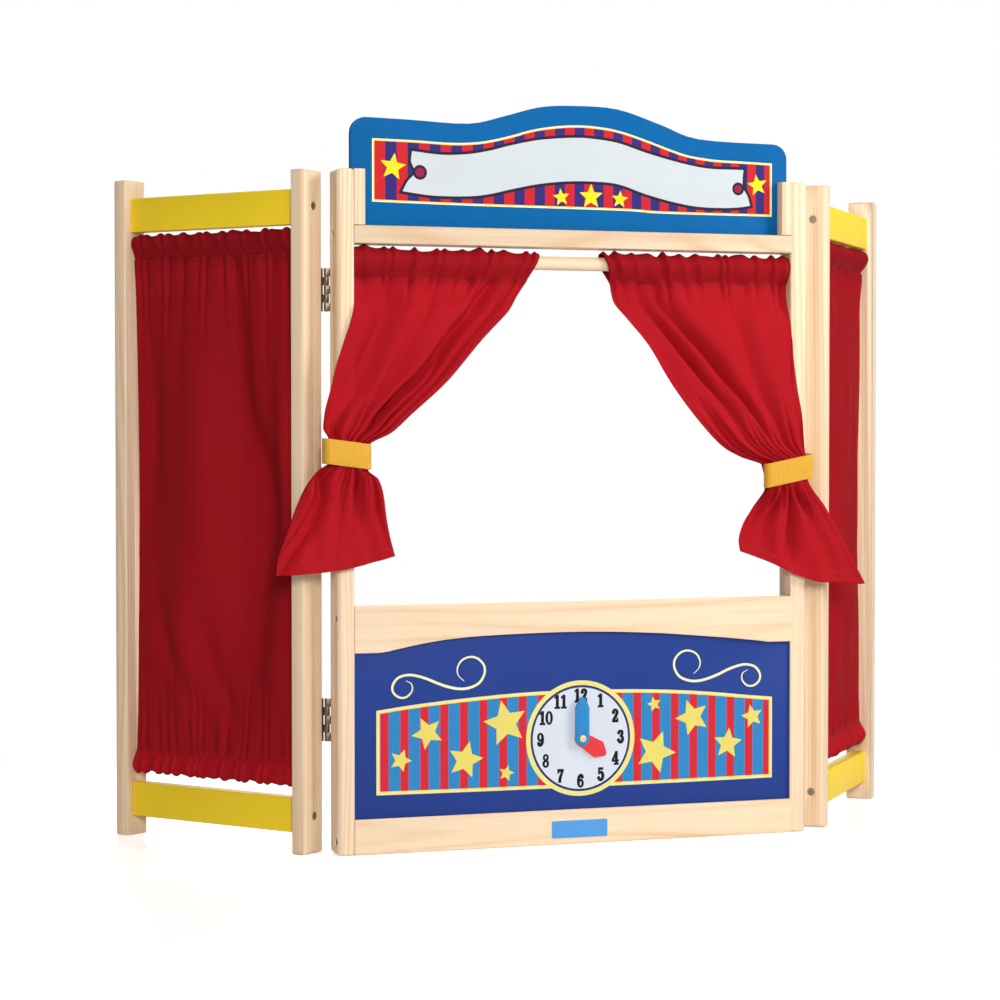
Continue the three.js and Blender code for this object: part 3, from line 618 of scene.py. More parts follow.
def sharpen(mesh, angle):
    """Smooth shading with hard edges where faces turn by more than the angle."""
    work = bmesh.new()
    work.from_mesh(mesh)
    for face in work.faces:
        face.smooth = True
    for edge in work.edges:
        edge.smooth = len(edge.link_faces) == 2 and edge.calc_face_angle(0) < angle
    work.to_mesh(mesh)
    work.free()


def turned_out(mesh):
    """Turns the faces of a closed mesh outwards."""
    work = bmesh.new()
    work.from_mesh(mesh)
    bmesh.ops.recalc_face_normals(work, faces=work.faces)
    work.to_mesh(mesh)
    work.free()


# Outlines of the prints, in millimetres: x from the stage's middle, then height

def curve(points, steps=6):
    """A smooth line through points."""
    points = [Vector(point) for point in points]
    line = []
    for index, (start, end) in enumerate(zip(points, points[1:])):
        before = points[index - 1] if index else 2 * start - end
        after = points[index + 2] if index + 2 < len(points) else 2 * end - start
        for step in range(steps):
            share = step / steps
            line.append(0.5 * (
                2 * start + (end - before) * share
                + (2 * before - 5 * start + 4 * end - after) * share ** 2
                + (3 * start - before - 3 * end + after) * share ** 3))
    line.append(points[-1])
    return line


def from_left(points):
    """Points whose x was measured from the stage's left side."""
    return [Vector((x - half_width, z)) for x, z in points]


def height_at(line, x):
    """Height of a line that runs from left to right."""
    return float(np.interp(x, [point.x for point in line], [point.y for point in line]))


def star(x, z, radius, tilt, inner_share):
    points = []
    for index in range(10):
        angle = math.radians(90 + tilt + 36 * index)
        reach = radius * (inner_share if index % 2 else 1)
        points.append(Vector((x + reach * math.cos(angle), z + reach * math.sin(angle))))
    return points


def disc(x, z, radius, steps=40, squash=1.0):
    turns = [2 * math.pi * step / steps for step in range(steps)]
    return [
        Vector((x + radius * squash * math.cos(turn), z + radius * math.sin(turn)))
        for turn in turns
    ]


def stroke(line, widths):
    """Outline of a line drawn with a pen whose width follows the line."""
    points = [Vector(point) for point in line]
    if not isinstance(widths, (list, tuple)):
        widths = [widths] * 2
    shares = np.linspace(0, 1, len(points))
    pen = np.interp(shares, np.linspace(0, 1, len(widths)), widths)
    left, right = [], []
    for index, point in enumerate(points):
        before = points[max(index - 1, 0)]
        after = points[min(index + 1, len(points) - 1)]
        along = (after - before).normalized()
        side = Vector((-along.y, along.x)) * pen[index] / 2
        left.append(point + side)
        right.append(point - side)
    return left + right[::-1]


def box_outline(x0, z0, x1, z1):
    return [Vector((x0, z0)), Vector((x1, z0)), Vector((x1, z1)), Vector((x0, z1))]


def strip_between(lower, upper, x0, x1, samples=4):
    """A patch between two lines, from one x to another."""
    stops = [x0 + (x1 - x0) * step / samples for step in range(samples + 1)]
    bottom = [Vector((x, height_at(lower, x))) for x in stops]
    top = [Vector((x, height_at(upper, x))) for x in reversed(stops)]
    return bottom + top


def area_of(outline):
    return sum(
        a.x * b.y - b.x * a.y for a, b in zip(outline, outline[1:] + outline[:1])) / 2


def printed(name, layers, face_y, body, slot):
    """A thin print on a face that looks to the front. Layers are (ink, outline), and the
    last one that covers a place gives its ink. No ink leaves the place bare."""
    vertices, loops = [], []
    for _, outline in layers:
        outline = outline if area_of(outline) > 0 else outline[::-1]
        loops.append(list(range(len(vertices), len(vertices) + len(outline))))
        vertices.extend(outline)
    places, _, triangles, _, _, owners = delaunay_2d_cdt(vertices, [], loops, 1, 1e-5, True)
    finishes = []
    for finish, _ in layers:
        if finish is not None and finish not in finishes:
            finishes.append(finish)
    kept = []
    for triangle, owner in zip(triangles, owners):
        finish = layers[max(owner)][0] if owner else None
        if finish is not None:
            kept.append((tuple(triangle), finishes.index(finish)))
    proud = face_y - sizes().ink_thickness / MM
    sunk = face_y + sizes().ink_thickness / MM / 2
    count = len(places)
    points = [(p.x, proud, p.y) for p in places] + [(p.x, sunk, p.y) for p in places]
    faces, inks = [], []
    rim = {}
    for triangle, number in kept:
        faces.append(triangle)
        faces.append(tuple(count + corner for corner in reversed(triangle)))
        inks += [number, number]
        for start, end in zip(triangle, triangle[1:] + triangle[:1]):
            if (end, start) in rim:
                del rim[end, start]
            else:
                rim[start, end] = number
    for (start, end), number in rim.items():
        faces.append((end, start, count + start, count + end))
        inks.append(number)
    mesh = bpy.data.meshes.new(name)
    mesh.from_pydata([Vector(point) * MM for point in points], [], faces)
    for finish in finishes:
        mesh.materials.append(finish)
    mesh.polygons.foreach_set("material_index", inks)
    work = bmesh.new()
    work.from_mesh(mesh)
    loose = [vertex for vertex in work.verts if not vertex.link_faces]
    bmesh.ops.delete(work, geom=loose, context="VERTS")
    work.to_mesh(mesh)
    work.free()
    piece_from(name, mesh, body, slot, None)


# Print on the sign board: a striped field in a cream border, with a bare ribbon

sign_left, sign_right = 35.5 - half_width, 419 - half_width
sign_top_edge = from_left([
    (35.3, 627.9), (74.7, 627.3), (110, 626.2), (137, 628.2), (164, 634.3), (182, 639.7),
    (200, 643.3), (224, 645.8), (246, 645.3), (268, 642.3), (293, 635.3), (319, 626.9),
    (336, 622.3), (361, 619.3), (387, 618.6), (419, 617.7)])
sign_bottom_edge = from_left([
    (35.3, 572.5), (128, 571.2), (268, 570.5), (310, 568.9), (419, 568.7)])
ribbon_upper = from_left([
    (72.1, 617.8), (99.5, 615.4), (124.4, 616.8), (146, 620.9), (164, 625.8), (191, 631.5),
    (224, 634.6), (246, 634), (268, 631), (293, 623.7), (319, 617.2), (344, 612.4),
    (361, 610.8), (378, 610.8), (390.5, 610.8)])
ribbon_lower = from_left([
    (63.3, 582.3), (92.4, 579.2), (126, 579.6), (146, 582.4), (164, 586.7), (191, 592.3),
    (218, 595.4), (246, 595.9), (268, 594), (293, 586.3), (319, 580), (344, 576.1),
    (370, 575.5), (387, 576.6), (397.2, 578.3)])
ribbon_left_end = from_left([(72.1, 617.8), (71.3, 608.5), (74.7, 599.1), (68, 591), (63.3, 582.3)])
ribbon_right_end = from_left([
    (390.5, 610.8), (389.6, 602), (390.2, 593.9), (394.6, 587), (397.2, 578.3)])
ribbon_holes = [(79.4, 599.3, 6.5), (385.2, 593.4, 5.9)]
sign_stars = [
    (54.5, 603.5, 12.4, -8), (212.1, 581, 8.2, 7), (240.7, 582.3, 11.6, 0),
    (268.6, 580.6, 8.2, -5), (404.4, 597.2, 10.2, 10)]
sign_stripe_count = 21
sign_stripe_start = 37.4
sign_stripe_pitch = 20.6
sign_stripe_shrink = 0.1
sign_stripe_share = 0.49
cream_line = 1.3
amber_line = 0.8
ribbon_outline_width = 2.6
ribbon_hole_rim = 2.3
star_waist_share = 0.44
border_samples = 60


def offset_line(line, lift):
    return [Vector((point.x, point.y + lift)) for point in line]


def framed_area(lower, upper, left, right, inset):
    """The patch between two lines, drawn in by an inset on all its sides."""
    return strip_between(
        offset_line(lower, inset), offset_line(upper, -inset), left + inset, right - inset,
        border_samples)


def stripe_start(index):
    return sign_stripe_start + sign_stripe_pitch * index - sign_stripe_shrink * index * (index - 1)


def sign_layers():
    cream = ink("cream", 1.0, 0.93, 0.72)
    amber = ink("amber", 0.98, 0.80, 0.36)
    red = ink("sign_red", 0.775, 0.12, 0.16)
    purple = ink("sign_purple", 0.18, 0.14, 0.44)
    dark = ink("outline", 0.14, 0.09, 0.17)
    plum = ink("plum", 0.58, 0.09, 0.27)
    ribbon = ink("ribbon", 0.79, 0.815, 0.825)
    star_yellow = ink("star_yellow", 1.0, 0.86, 0.13)
    upper, lower = curve(sign_top_edge), curve(sign_bottom_edge)
    inset = cream_line + amber_line
    layers = [
        (cream, framed_area(lower, upper, sign_left, sign_right, 0)),
        (amber, framed_area(lower, upper, sign_left, sign_right, cream_line)),
        (purple, framed_area(lower, upper, sign_left, sign_right, inset)),
    ]
    field_upper, field_lower = offset_line(upper, -inset), offset_line(lower, inset)
    for index in range(sign_stripe_count):
        start = stripe_start(index) - half_width
        width = (sign_stripe_pitch - 2 * sign_stripe_shrink * index) * sign_stripe_share
        low = max(start, sign_left + inset)
        high = min(start + width, sign_right - inset)
        layers.append((red, strip_between(field_lower, field_upper, low, high)))
    edge = (
        curve(ribbon_upper) + curve(ribbon_right_end)[1:]
        + curve(ribbon_lower)[::-1][1:] + curve(ribbon_left_end)[::-1][1:-1])
    layers.append((dark, grown(edge, ribbon_outline_width)))
    layers.append((ribbon, edge))
    for x, z, radius in ribbon_holes:
        layers.append((dark, disc(x - half_width, z, radius)))
        layers.append((plum, disc(x - half_width, z, radius - ribbon_hole_rim)))
    for x, z, radius, tilt in sign_stars:
        layers.append((star_yellow, star(x - half_width, z, radius, tilt, star_waist_share)))
    return layers


sharpest_corner = 0.6


def grown(outline, amount):
    """An outline moved outwards by an amount, and less than a full mitre at sharp corners."""
    points = outline if area_of(outline) > 0 else outline[::-1]
    moved = []
    count = len(points)
    for index, point in enumerate(points):
        before = (point - points[index - 1]).normalized()
        after = (points[(index + 1) % count] - point).normalized()
        normal = Vector((before.y + after.y, -before.x - after.x))
        if normal.length > 1e-6:
            normal.normalize()
            spread = max(sharpest_corner, normal.dot(Vector((before.y, -before.x))))
            moved.append(point + normal * amount / spread)
    return moved


# Print on the apron: stripes and stars in a yellow border, scrolls and the dial

apron_left, apron_right = 36.3 - half_width, 416.9 - half_width
apron_top_edge = from_left([
    (36.6, 126), (67, 129.8), (99, 132.8), (131, 135.2), (164, 137.2), (199, 138.2),
    (257, 137.9), (293, 136.8), (327, 134.9), (361, 131.9), (395, 128.2), (418.4, 125.9)])
apron_bottom_edge = from_left([(36.6, 51.5), (160, 50.7), (300, 50.6), (418.4, 51.3)])
apron_stripe_count = 21
apron_stripe_start = 39.9
apron_stripe_pitch = 18.4
apron_stripe_width = 7.6
apron_border = 2.3
apron_border_inner = 0.9
apron_stars = [
    (58.6, 81.4, 10.5, -21), (83.4, 104.8, 15, 26), (118.6, 79.5, 17, -14),
    (156.4, 110.9, 21, 12), (157.2, 66.1, 7.5, -15), (299.5, 123.1, 7, 15),
    (337.1, 109.8, 17, 20), (300.8, 79.5, 20, -22), (372.4, 84.5, 14.5, -6),
    (396.9, 108.7, 11, 13)]
apron_star_waist_share = 0.47
scroll_left = from_left([
    (63.6, 151.7), (68.7, 148.5), (69, 142.4), (63.9, 137.3), (57.6, 137.1), (52, 141.4),
    (51.2, 147.5), (56, 154.2), (64.7, 156.7), (73.4, 155.7), (83, 152.7), (92.6, 148.6),
    (102.2, 145.2), (111.8, 143.1), (121.5, 143.4), (131.2, 147.4), (136.3, 155),
    (136.3, 162.6), (131.1, 168.9), (123.9, 171.1), (115.8, 168.6), (111.3, 161.8),
    (112.1, 154.9), (117.4, 149.8)])
scroll_mirror = 227.9 - half_width
scroll_pens = [0.5, 1.7, 2.0, 2.3, 2.4, 2.3, 2.0, 1.7, 0.5]

# Clock dial
ring_radius = 52.2
ring_inner_radius = 47.9
dial_radius = 45.8
dial_steps = 96
numeral_circle = 38.6
numeral_boldness = 0.32
pair_spacing_left = 3.1
pair_spacing_right = 3.2


def numeral_strokes(digit):
    """Outlines of a bold slab numeral, 12 mm tall, about its own middle, and of the holes
    in it."""
    bowl = [(-1.9, 0.7), (-0.3, 1.9), (1.6, 1.0), (2.1, -1.8), (1.2, -4.6), (-0.7, -5.0),
            (-2.2, -3.6)]
    six = [(2.0, 3.6), (1.0, 5.0), (-0.7, 4.8), (-1.8, 2.6), (-2.0, -0.6), (-1.7, -3.6)]
    solids, holes = [], []
    if digit == 0:
        solids = [disc(0, 0, 6, 28, 0.55)]
        holes = [disc(0, 0, 4.5, 24, 0.26)]
    elif digit == 1:
        solids = [
            box_outline(-1.15, -6, 1.15, 6), box_outline(-2.5, -6, 2.5, -4.6),
            [Vector(p) for p in ((-2.6, 3.1), (-1.1, 3.6), (1.1, 6), (-0.4, 6), (-2.6, 4.4))]]
    elif digit == 2:
        solids = [
            stroke(curve([(-1.9, 2.9), (-1.5, 4.5), (0.1, 5.1), (1.6, 3.9), (1.6, 1.9),
                          (0.2, -1.2), (-1.6, -4.0), (-1.9, -5.2)]), [2.0, 1.8, 2.3, 2.4, 1.7]),
            box_outline(-2.8, -6, 2.8, -4.2), box_outline(1.5, -5, 2.8, -2.6),
            disc(-1.7, 2.8, 1.35, 12)]
    elif digit == 3:
        solids = [
            stroke(curve([(-1.9, 4.0), (-0.4, 5.1), (1.4, 4.3), (1.4, 2.0), (-0.1, 0.7)]),
                   [1.6, 2.2, 1.8]),
            stroke(curve([(-0.2, 0.8), (1.6, -0.4), (2.0, -2.7), (0.9, -4.8), (-0.9, -4.9),
                          (-2.0, -3.6)]), [1.8, 2.4, 2.3, 1.7]),
            disc(-1.8, 3.5, 1.3, 12), disc(-1.9, -3.2, 1.4, 12)]
    elif digit == 4:
        solids = [
            box_outline(0.0, -6, 2.2, 6), box_outline(-3.1, -3.1, 3.2, -1.6),
            stroke([(1.0, 5.6), (-2.5, -2.1)], 1.5), box_outline(-1.2, -6, 3.3, -4.8)]
    elif digit == 5:
        solids = [
            box_outline(-2.1, 4.1, 2.3, 6), box_outline(-2.2, 0.2, -0.8, 5.9),
            stroke(curve(bowl), [1.6, 2.2, 2.4, 2.2, 1.7]), disc(-1.8, -3.2, 1.35, 12)]
    elif digit in (6, 9):
        solids = [disc(0, -2.2, 3.8, 24, 0.74), stroke(curve(six), [1.6, 2.0, 2.4, 2.4]),
                  disc(1.6, 3.3, 1.3, 12)]
        holes = [disc(0, -2.3, 2.2, 18, 0.42)]
        if digit == 9:
            solids = [[-point for point in outline] for outline in solids]
            holes = [[-point for point in outline] for outline in holes]
    elif digit == 7:
        solids = [
            box_outline(-2.7, 4.0, 2.8, 6), box_outline(-2.7, 2.4, -1.5, 5.5),
            stroke(curve([(2.0, 4.9), (0.7, 1.2), (-0.5, -2.4), (-0.7, -5.9)]), [1.7, 2.2, 2.5])]
    elif digit == 8:
        solids = [disc(0, 3.0, 3.0, 24, 0.86), disc(0, -2.6, 3.4, 24, 0.86)]
        holes = [disc(0, 3.1, 1.5, 16, 0.6), disc(0, -2.7, 1.9, 16, 0.55)]
    return solids, holes


def dial_layers():
    ring = ink("dial_ring", 0.90, 0.865, 0.53)
    rim = ink("dial_rim", 0.17, 0.17, 0.40)
    face = ink("dial_face", 0.83, 0.85, 0.89)
    black = ink("black", 0.055, 0.06, 0.075)
    x, z = dial_centre
    layers = [
        (ring, disc(x, z, ring_radius, dial_steps)),
        (rim, disc(x, z, ring_inner_radius, dial_steps)),
        (face, disc(x, z, dial_radius, dial_steps))]
    for hour in range(1, 13):
        angle = math.radians(90 - 30 * hour)
        centre = dial_centre + numeral_circle * Vector((math.cos(angle), math.sin(angle)))
        digits = [(hour, 0)]
        if hour >= 10:
            digits = [(hour // 10, -pair_spacing_left), (hour % 10, pair_spacing_right)]
        for digit, shift in digits:
            place = centre + Vector((shift, 0))
            solids, holes = numeral_strokes(digit)
            for finish, outlines, boldness in (
                    (black, solids, numeral_boldness), (face, holes, -numeral_boldness / 2)):
                for outline in outlines:
                    layers.append((finish, [place + point for point in grown(outline, boldness)]))
    return layers


def apron_layers():
    border = ink("border_yellow", 0.915, 0.88, 0.58)
    inner = ink("border_gold", 0.985, 0.82, 0.38)
    red = ink("apron_red", 0.805, 0.15, 0.205)
    sky = ink("sky_blue", 0.18, 0.51, 0.735)
    gold = ink("star_gold", 0.885, 0.825, 0.41)
    scroll = ink("scroll_yellow", 0.93, 0.925, 0.70)
    upper, lower = curve(apron_top_edge), curve(apron_bottom_edge)
    inset = apron_border + apron_border_inner
    layers = [
        (border, framed_area(lower, upper, apron_left, apron_right, 0)),
        (inner, framed_area(lower, upper, apron_left, apron_right, apron_border)),
        (sky, framed_area(lower, upper, apron_left, apron_right, inset)),
    ]
    field_upper, field_lower = offset_line(upper, -inset), offset_line(lower, inset)
    for index in range(apron_stripe_count):
        start = apron_stripe_start + apron_stripe_pitch * index - half_width
        end = min(start + apron_stripe_width, apron_right - inset)
        layers.append((red, strip_between(field_lower, field_upper, start, end)))
    for x, z, radius, tilt in apron_stars:
        layers.append((gold, star(x - half_width, z, radius, tilt, apron_star_waist_share)))
    mirrored = [Vector((2 * scroll_mirror - point.x, point.y)) for point in scroll_left]
    for line in (scroll_left, mirrored):
        layers.append((scroll, stroke(curve(line, 5), scroll_pens)))
    return layers + dial_layers()


# Bare plate on the bottom rail

plate_left, plate_right = 199.0, 252.4
plate_bottom, plate_top = 5.8, 21.4
plate_corner = 1.2
plate_edge_round = 0.15
plate_shown = (0.27, 0.58, 0.84)


def rounded_outline(x0, z0, x1, z1, radius, steps=5):
    points = []
    for cx, cz, first in (
            (x1 - radius, z1 - radius, 0), (x0 + radius, z1 - radius, 90),
            (x0 + radius, z0 + radius, 180), (x1 - radius, z0 + radius, 270)):
        for step in range(steps + 1):
            angle = math.radians(first + 90 * step / steps)
            points.append(Vector((cx + radius * math.cos(angle), cz + radius * math.sin(angle))))
    return points


def label_plate():
    """A plain plate let onto the front of the bottom rail."""
    outline = rounded_outline(
        plate_left - half_width, plate_bottom, plate_right - half_width, plate_top, plate_corner)
    count = len(outline)
    near = rail_front - sizes().plate_thickness / MM
    vertices = [(p.x, near, p.y) for p in outline] + [(p.x, rail_front, p.y) for p in outline]
    faces = [tuple(range(count)), tuple(range(2 * count - 1, count - 1, -1))]
    for index in range(count):
        after = (index + 1) % count
        faces.append((after, index, count + index, count + after))
    mesh = mesh_from("bare_plate", vertices, faces)
    finish = material("plate_blue", plastic, linear(*plate_shown))
    piece = piece_from("bare_plate", mesh, "stage", "sign_blue", finish)
    soften(piece, plate_edge_round * MM)


# Screws, made by one node tree and set on points that know their direction

class NodeMaker:
    """A geometry node tree, put together node by node."""

    def __init__(self, name):
        self.tree = bpy.data.node_groups.new(name, "GeometryNodeTree")
        self.tree.interface.new_socket(
            "Geometry", in_out="OUTPUT", socket_type="NodeSocketGeometry")
        self.inlet = self.tree.nodes.new("NodeGroupInput")
        self.outlet = self.tree.nodes.new("NodeGroupOutput")
        self.identifiers = {}
        self.add_input("Geometry", "NodeSocketGeometry")

    def add_input(self, name, kind, default=None):
        socket = self.tree.interface.new_socket(name, in_out="INPUT", socket_type=kind)
        if default is not None:
            socket.default_value = default
        self.identifiers[name] = socket.identifier
        return self.inlet.outputs[name]

    def node(self, kind, inputs=None, **settings):
        made = self.tree.nodes.new(kind)
        for key, value in settings.items():
            setattr(made, key, value)
        for key, value in (inputs or {}).items():
            if isinstance(value, list):
                for link in value:
                    self.tree.links.new(link, made.inputs[key])
            elif isinstance(value, bpy.types.NodeSocket):
                self.tree.links.new(value, made.inputs[key])
            else:
                made.inputs[key].default_value = value
        return made

    def math(self, operation, *values):
        return self.node("ShaderNodeMath", dict(enumerate(values)), operation=operation).outputs[0]

    def vector(self, x=0.0, y=0.0, z=0.0):
        return self.node("ShaderNodeCombineXYZ", {0: x, 1: y, 2: z}).outputs[0]

    def moved(self, mesh, offset):
        return self.node(
            "GeometryNodeTransform", {"Geometry": mesh, "Translation": offset}).outputs[0]

    def finish(self, geometry, finish):
        realized = self.node("GeometryNodeRealizeInstances", {"Geometry": geometry}).outputs[0]
        painted = self.node("GeometryNodeSetMaterial", {"Geometry": realized, "Material": finish})
        self.tree.links.new(painted.outputs[0], self.outlet.inputs[0])
        return self.tree


screw_head = 3.6
screw_shank = 1.9
screw_height = 3.0
screw_length = 34.0
recess_reach_share = 1.15
recess_depth_share = 1.1
frame_screw_seed = 3


def screw_tree():
    """A countersunk screw with a cross recess, its point along +Z, on every point."""
    maker = NodeMaker("cross_head_screws")
    head = maker.add_input("Head Radius", "NodeSocketFloat", screw_head * MM)
    shank = maker.add_input("Shank Radius", "NodeSocketFloat", screw_shank * MM)
    head_height = maker.add_input("Head Height", "NodeSocketFloat", screw_height * MM)
    length = maker.add_input("Length", "NodeSocketFloat", screw_length * MM)
    recess = maker.add_input("Recess Width", "NodeSocketFloat", sizes().recess_width)
    seed = maker.add_input("Turn Seed", "NodeSocketInt", frame_screw_seed)
    finish = maker.add_input("Material", "NodeSocketMaterial")
    cone = maker.node("GeometryNodeMeshCone", {
        "Vertices": 32, "Radius Bottom": head, "Radius Top": shank, "Depth": head_height,
    }).outputs["Mesh"]
    rod = maker.node("GeometryNodeMeshCylinder", {
        "Vertices": 16, "Radius": shank, "Depth": length}).outputs["Mesh"]
    rod_placed = maker.moved(rod, maker.vector(z=maker.math("DIVIDE", length, 2.0)))
    arm = maker.math("MULTIPLY", head, recess_reach_share)
    depth = maker.math("MULTIPLY", head_height, recess_depth_share)
    bars = []
    for size in (maker.vector(arm, recess, depth), maker.vector(recess, arm, depth)):
        bars.append(maker.node("GeometryNodeMeshCube", {"Size": size}).outputs["Mesh"])
    crossed = maker.node("GeometryNodeMeshBoolean", {
        "Mesh 2": bars}, operation="UNION", solver="EXACT").outputs[0]
    solid = maker.node("GeometryNodeMeshBoolean", {
        "Mesh 2": [cone, rod_placed]}, operation="UNION", solver="EXACT").outputs[0]
    screw = maker.node("GeometryNodeMeshBoolean", {
        "Mesh 1": solid, "Mesh 2": crossed}, operation="DIFFERENCE", solver="EXACT").outputs[0]
    aim = maker.node("GeometryNodeInputNamedAttribute", {"Name": "aim"}, data_type="FLOAT_VECTOR")
    turned = maker.node("FunctionNodeAlignRotationToVector", {"Vector": aim.outputs[0]}, axis="Z")
    spin = maker.node("FunctionNodeRandomValue", {
        "Min": 0.0, "Max": math.pi, "Seed": seed}, data_type="FLOAT")
    spun = maker.node("FunctionNodeRotateRotation", {
        "Rotation": turned.outputs[0],
        "Rotate By": maker.node("FunctionNodeAxisAngleToRotation", {
            "Axis": (0, 0, 1), "Angle": spin.outputs[1]}).outputs[0],
    }, rotation_space="LOCAL")
    placed = maker.node("GeometryNodeInstanceOnPoints", {
        "Points": maker.inlet.outputs["Geometry"], "Instance": screw,
        "Rotation": spun.outputs[0]}).outputs[0]
    return maker.finish(placed, finish), maker.identifiers


def pointed_mesh(name, spots):
    """Loose points from (place, aim) pairs. A copy set on a point looks along its aim."""
    mesh = bpy.data.meshes.new(name)
    mesh.from_pydata([Vector(place) * MM for place, _ in spots], [], [])
    attribute = mesh.attributes.new("aim", "FLOAT_VECTOR", "POINT")
    for item, (_, aim) in zip(attribute.data, spots):
        item.vector = aim
    return mesh


def plain_from_tree(name, points, tree, identifiers, values):
    """The mesh that a node tree makes on points, as a plain mesh."""
    holder = bpy.data.objects.new(name + "_points", points)
    bpy.context.scene.collection.objects.link(holder)
    modifier = holder.modifiers.new("placed", "NODES")
    modifier.node_group = tree
    for key, value in values.items():
        modifier[identifiers[key]] = value
    evaluated = holder.evaluated_get(bpy.context.evaluated_depsgraph_get())
    mesh = bpy.data.meshes.new_from_object(evaluated)
    mesh.name = name
    holder.modifiers.clear()
    bpy.data.objects.remove(holder)
    return mesh


wing_screw_places = ("near_top", "far_top", "near_bottom", "far_bottom")
frame_screws = {
    "stage": [f"{side}_{rail}_rail_screw" for side in ("left", "right")
              for rail in ("top", "sill", "bottom")]}
for word in ("left", "right"):
    frame_screws[word + "_wing"] = [f"{word}_wing_{place}_screw" for place in wing_screw_places]


def screw_axis(node):
    """Head and direction of a frame screw: its wide end is its head."""
    points = np.array([vertex.co for vertex in frame["nodes"][node].data.vertices]) / MM
    points = np.unique(points.round(3), axis=0)
    centre = points.mean(0)
    spread = points - centre
    axis = np.linalg.svd(spread, full_matrices=False)[2][0]
    along = spread @ axis
    ends = [points[np.abs(along - value) < 0.05] for value in (along.min(), along.max())]
    widths = [np.linalg.norm(end - end.mean(0), axis=1).max() for end in ends]
    head, tail = (ends if widths[0] > widths[1] else ends[::-1])
    start = Vector(head.mean(0))
    return start, (Vector(tail.mean(0)) - start).normalized(), max(widths)


def frame_screw_pieces(tree, identifiers):
    for body, nodes in frame_screws.items():
        found = [screw_axis(node) for node in nodes]
        points = pointed_mesh(body, [(place, aim) for place, aim, _ in found])
        mesh = plain_from_tree(body + "_screws", points, tree, identifiers, {
            "Head Radius": found[0][2] * MM,
            "Material": screw_metal()})
        sharpen(mesh, hard_edge_angle)
        piece = piece_from(body + "_screws", mesh, body, "screw_steel", screw_metal())
        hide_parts(*nodes)


# Small screws in the hinge leaves

leaf_screw_inset_share = 9 / 13
leaf_screw_level_share = 0.25
leaf_screw_head = 2.3
leaf_screw_shank = 1.15
leaf_screw_length = 9
leaf_screw_height = 1.1
leaf_screw_recess = 0.6
leaf_screw_seed = 8
leaf_width = 13
leaf_thickness = 1.5


def wing_place(side, along, depth, height):
    """A point of a wing, from its place along the wing, behind its axis and above the floor."""
    joint = joints[side_names[side] + "_wing_fold"]
    angle = side * -math.radians(joint["range_deg"][0])
    pivot = Vector(joint["pos_m"]) / MM
    turn = Matrix.Rotation(angle, 3, "Z")
    return pivot + turn @ Vector((side * along, depth, 0)) + Vector((0, 0, height))


def wing_direction(side, along, depth):
    return (wing_place(side, along, depth, 0) - wing_place(side, 0, 0, 0)).normalized()


def hinge_screw_pieces(tree, identifiers):
    places = {"stage": [], "left_wing": [], "right_wing": []}
    for side, name in side_names.items():
        pivot = Vector(joints[name + "_wing_fold"]["pos_m"]) / MM
        for level in ("upper", "lower"):
            low, high = corners(f"{name}_{level}_hinge_stage_leaf")
            centre, height = (low.z + high.z) / 2, high.z - low.z
            leaf_back = back_y + leaf_thickness
            wing_axis = leaf_back - pivot.y
            reach = max(high.x - pivot.x, pivot.x - low.x)
            inset = reach - leaf_width * (1 - leaf_screw_inset_share)
            for turn in (-1, 1):
                z = centre + turn * leaf_screw_level_share * height
                places["stage"].append((
                    Vector((pivot.x - side * inset, leaf_back, z)), Vector((0, -1, 0))))
                places[name + "_wing"].append((
                    wing_place(side, inset, wing_axis, z), wing_direction(side, 0, -1)))
    for body, rows in places.items():
        points = pointed_mesh(body, rows)
        mesh = plain_from_tree(body + "_hinge_screws", points, tree, identifiers, {
            "Head Radius": leaf_screw_head * MM,
            "Shank Radius": leaf_screw_shank * MM,
            "Head Height": leaf_screw_height * MM,
            "Length": leaf_screw_length * MM,
            "Recess Width": leaf_screw_recess * MM,
            "Turn Seed": leaf_screw_seed,
            "Material": hinge_metal()})
        sharpen(mesh, hard_edge_angle)
        piece_from(body + "_hinge_screws", mesh, body, "screw_steel", hinge_metal())


# Cloth: a sheet worked out on a grid of shares across and along it

def keyed(at, keys):
    """A smooth run through (place, value) keys, level beyond its ends."""
    places = np.array([place for place, _ in keys], float)
    values = np.array([value for _, value in keys], float)
    steps = np.diff(values) / np.diff(places)
    slopes = np.zeros(len(keys))
    for index in range(1, len(keys) - 1):
        before, after = steps[index - 1], steps[index]
        if before * after > 0:
            slopes[index] = 2 * before * after / (before + after)
    slopes[0], slopes[-1] = steps[0], steps[-1]
    at = np.clip(at, places[0], places[-1])
    piece = np.clip(np.searchsorted(places, at) - 1, 0, len(steps) - 1)
    gap = places[piece + 1] - places[piece]
    share = (at - places[piece]) / gap
    square, cube = share ** 2, share ** 3
    return (
        (2 * cube - 3 * square + 1) * values[piece]
        + (cube - 2 * square + share) * gap * slopes[piece]
        + (3 * square - 2 * cube) * values[piece + 1]
        + (cube - square) * gap * slopes[piece + 1])


def valley(across, along, path, widths, depths, roundness):
    """Depth of one fold, a sharp crease at a roundness of 1. Path, widths and depths are keys
    along the sheet, and the widths are pairs for the side towards 0 and the side towards 1."""
    centre = keyed(along, path)
    low = keyed(along, [(place, pair[0]) for place, pair in widths])
    high = keyed(along, [(place, pair[1]) for place, pair in widths])
    offset = across - centre
    width = np.where(offset < 0, low, high)
    return keyed(along, depths) * np.exp(-np.abs(offset / width) ** roundness)


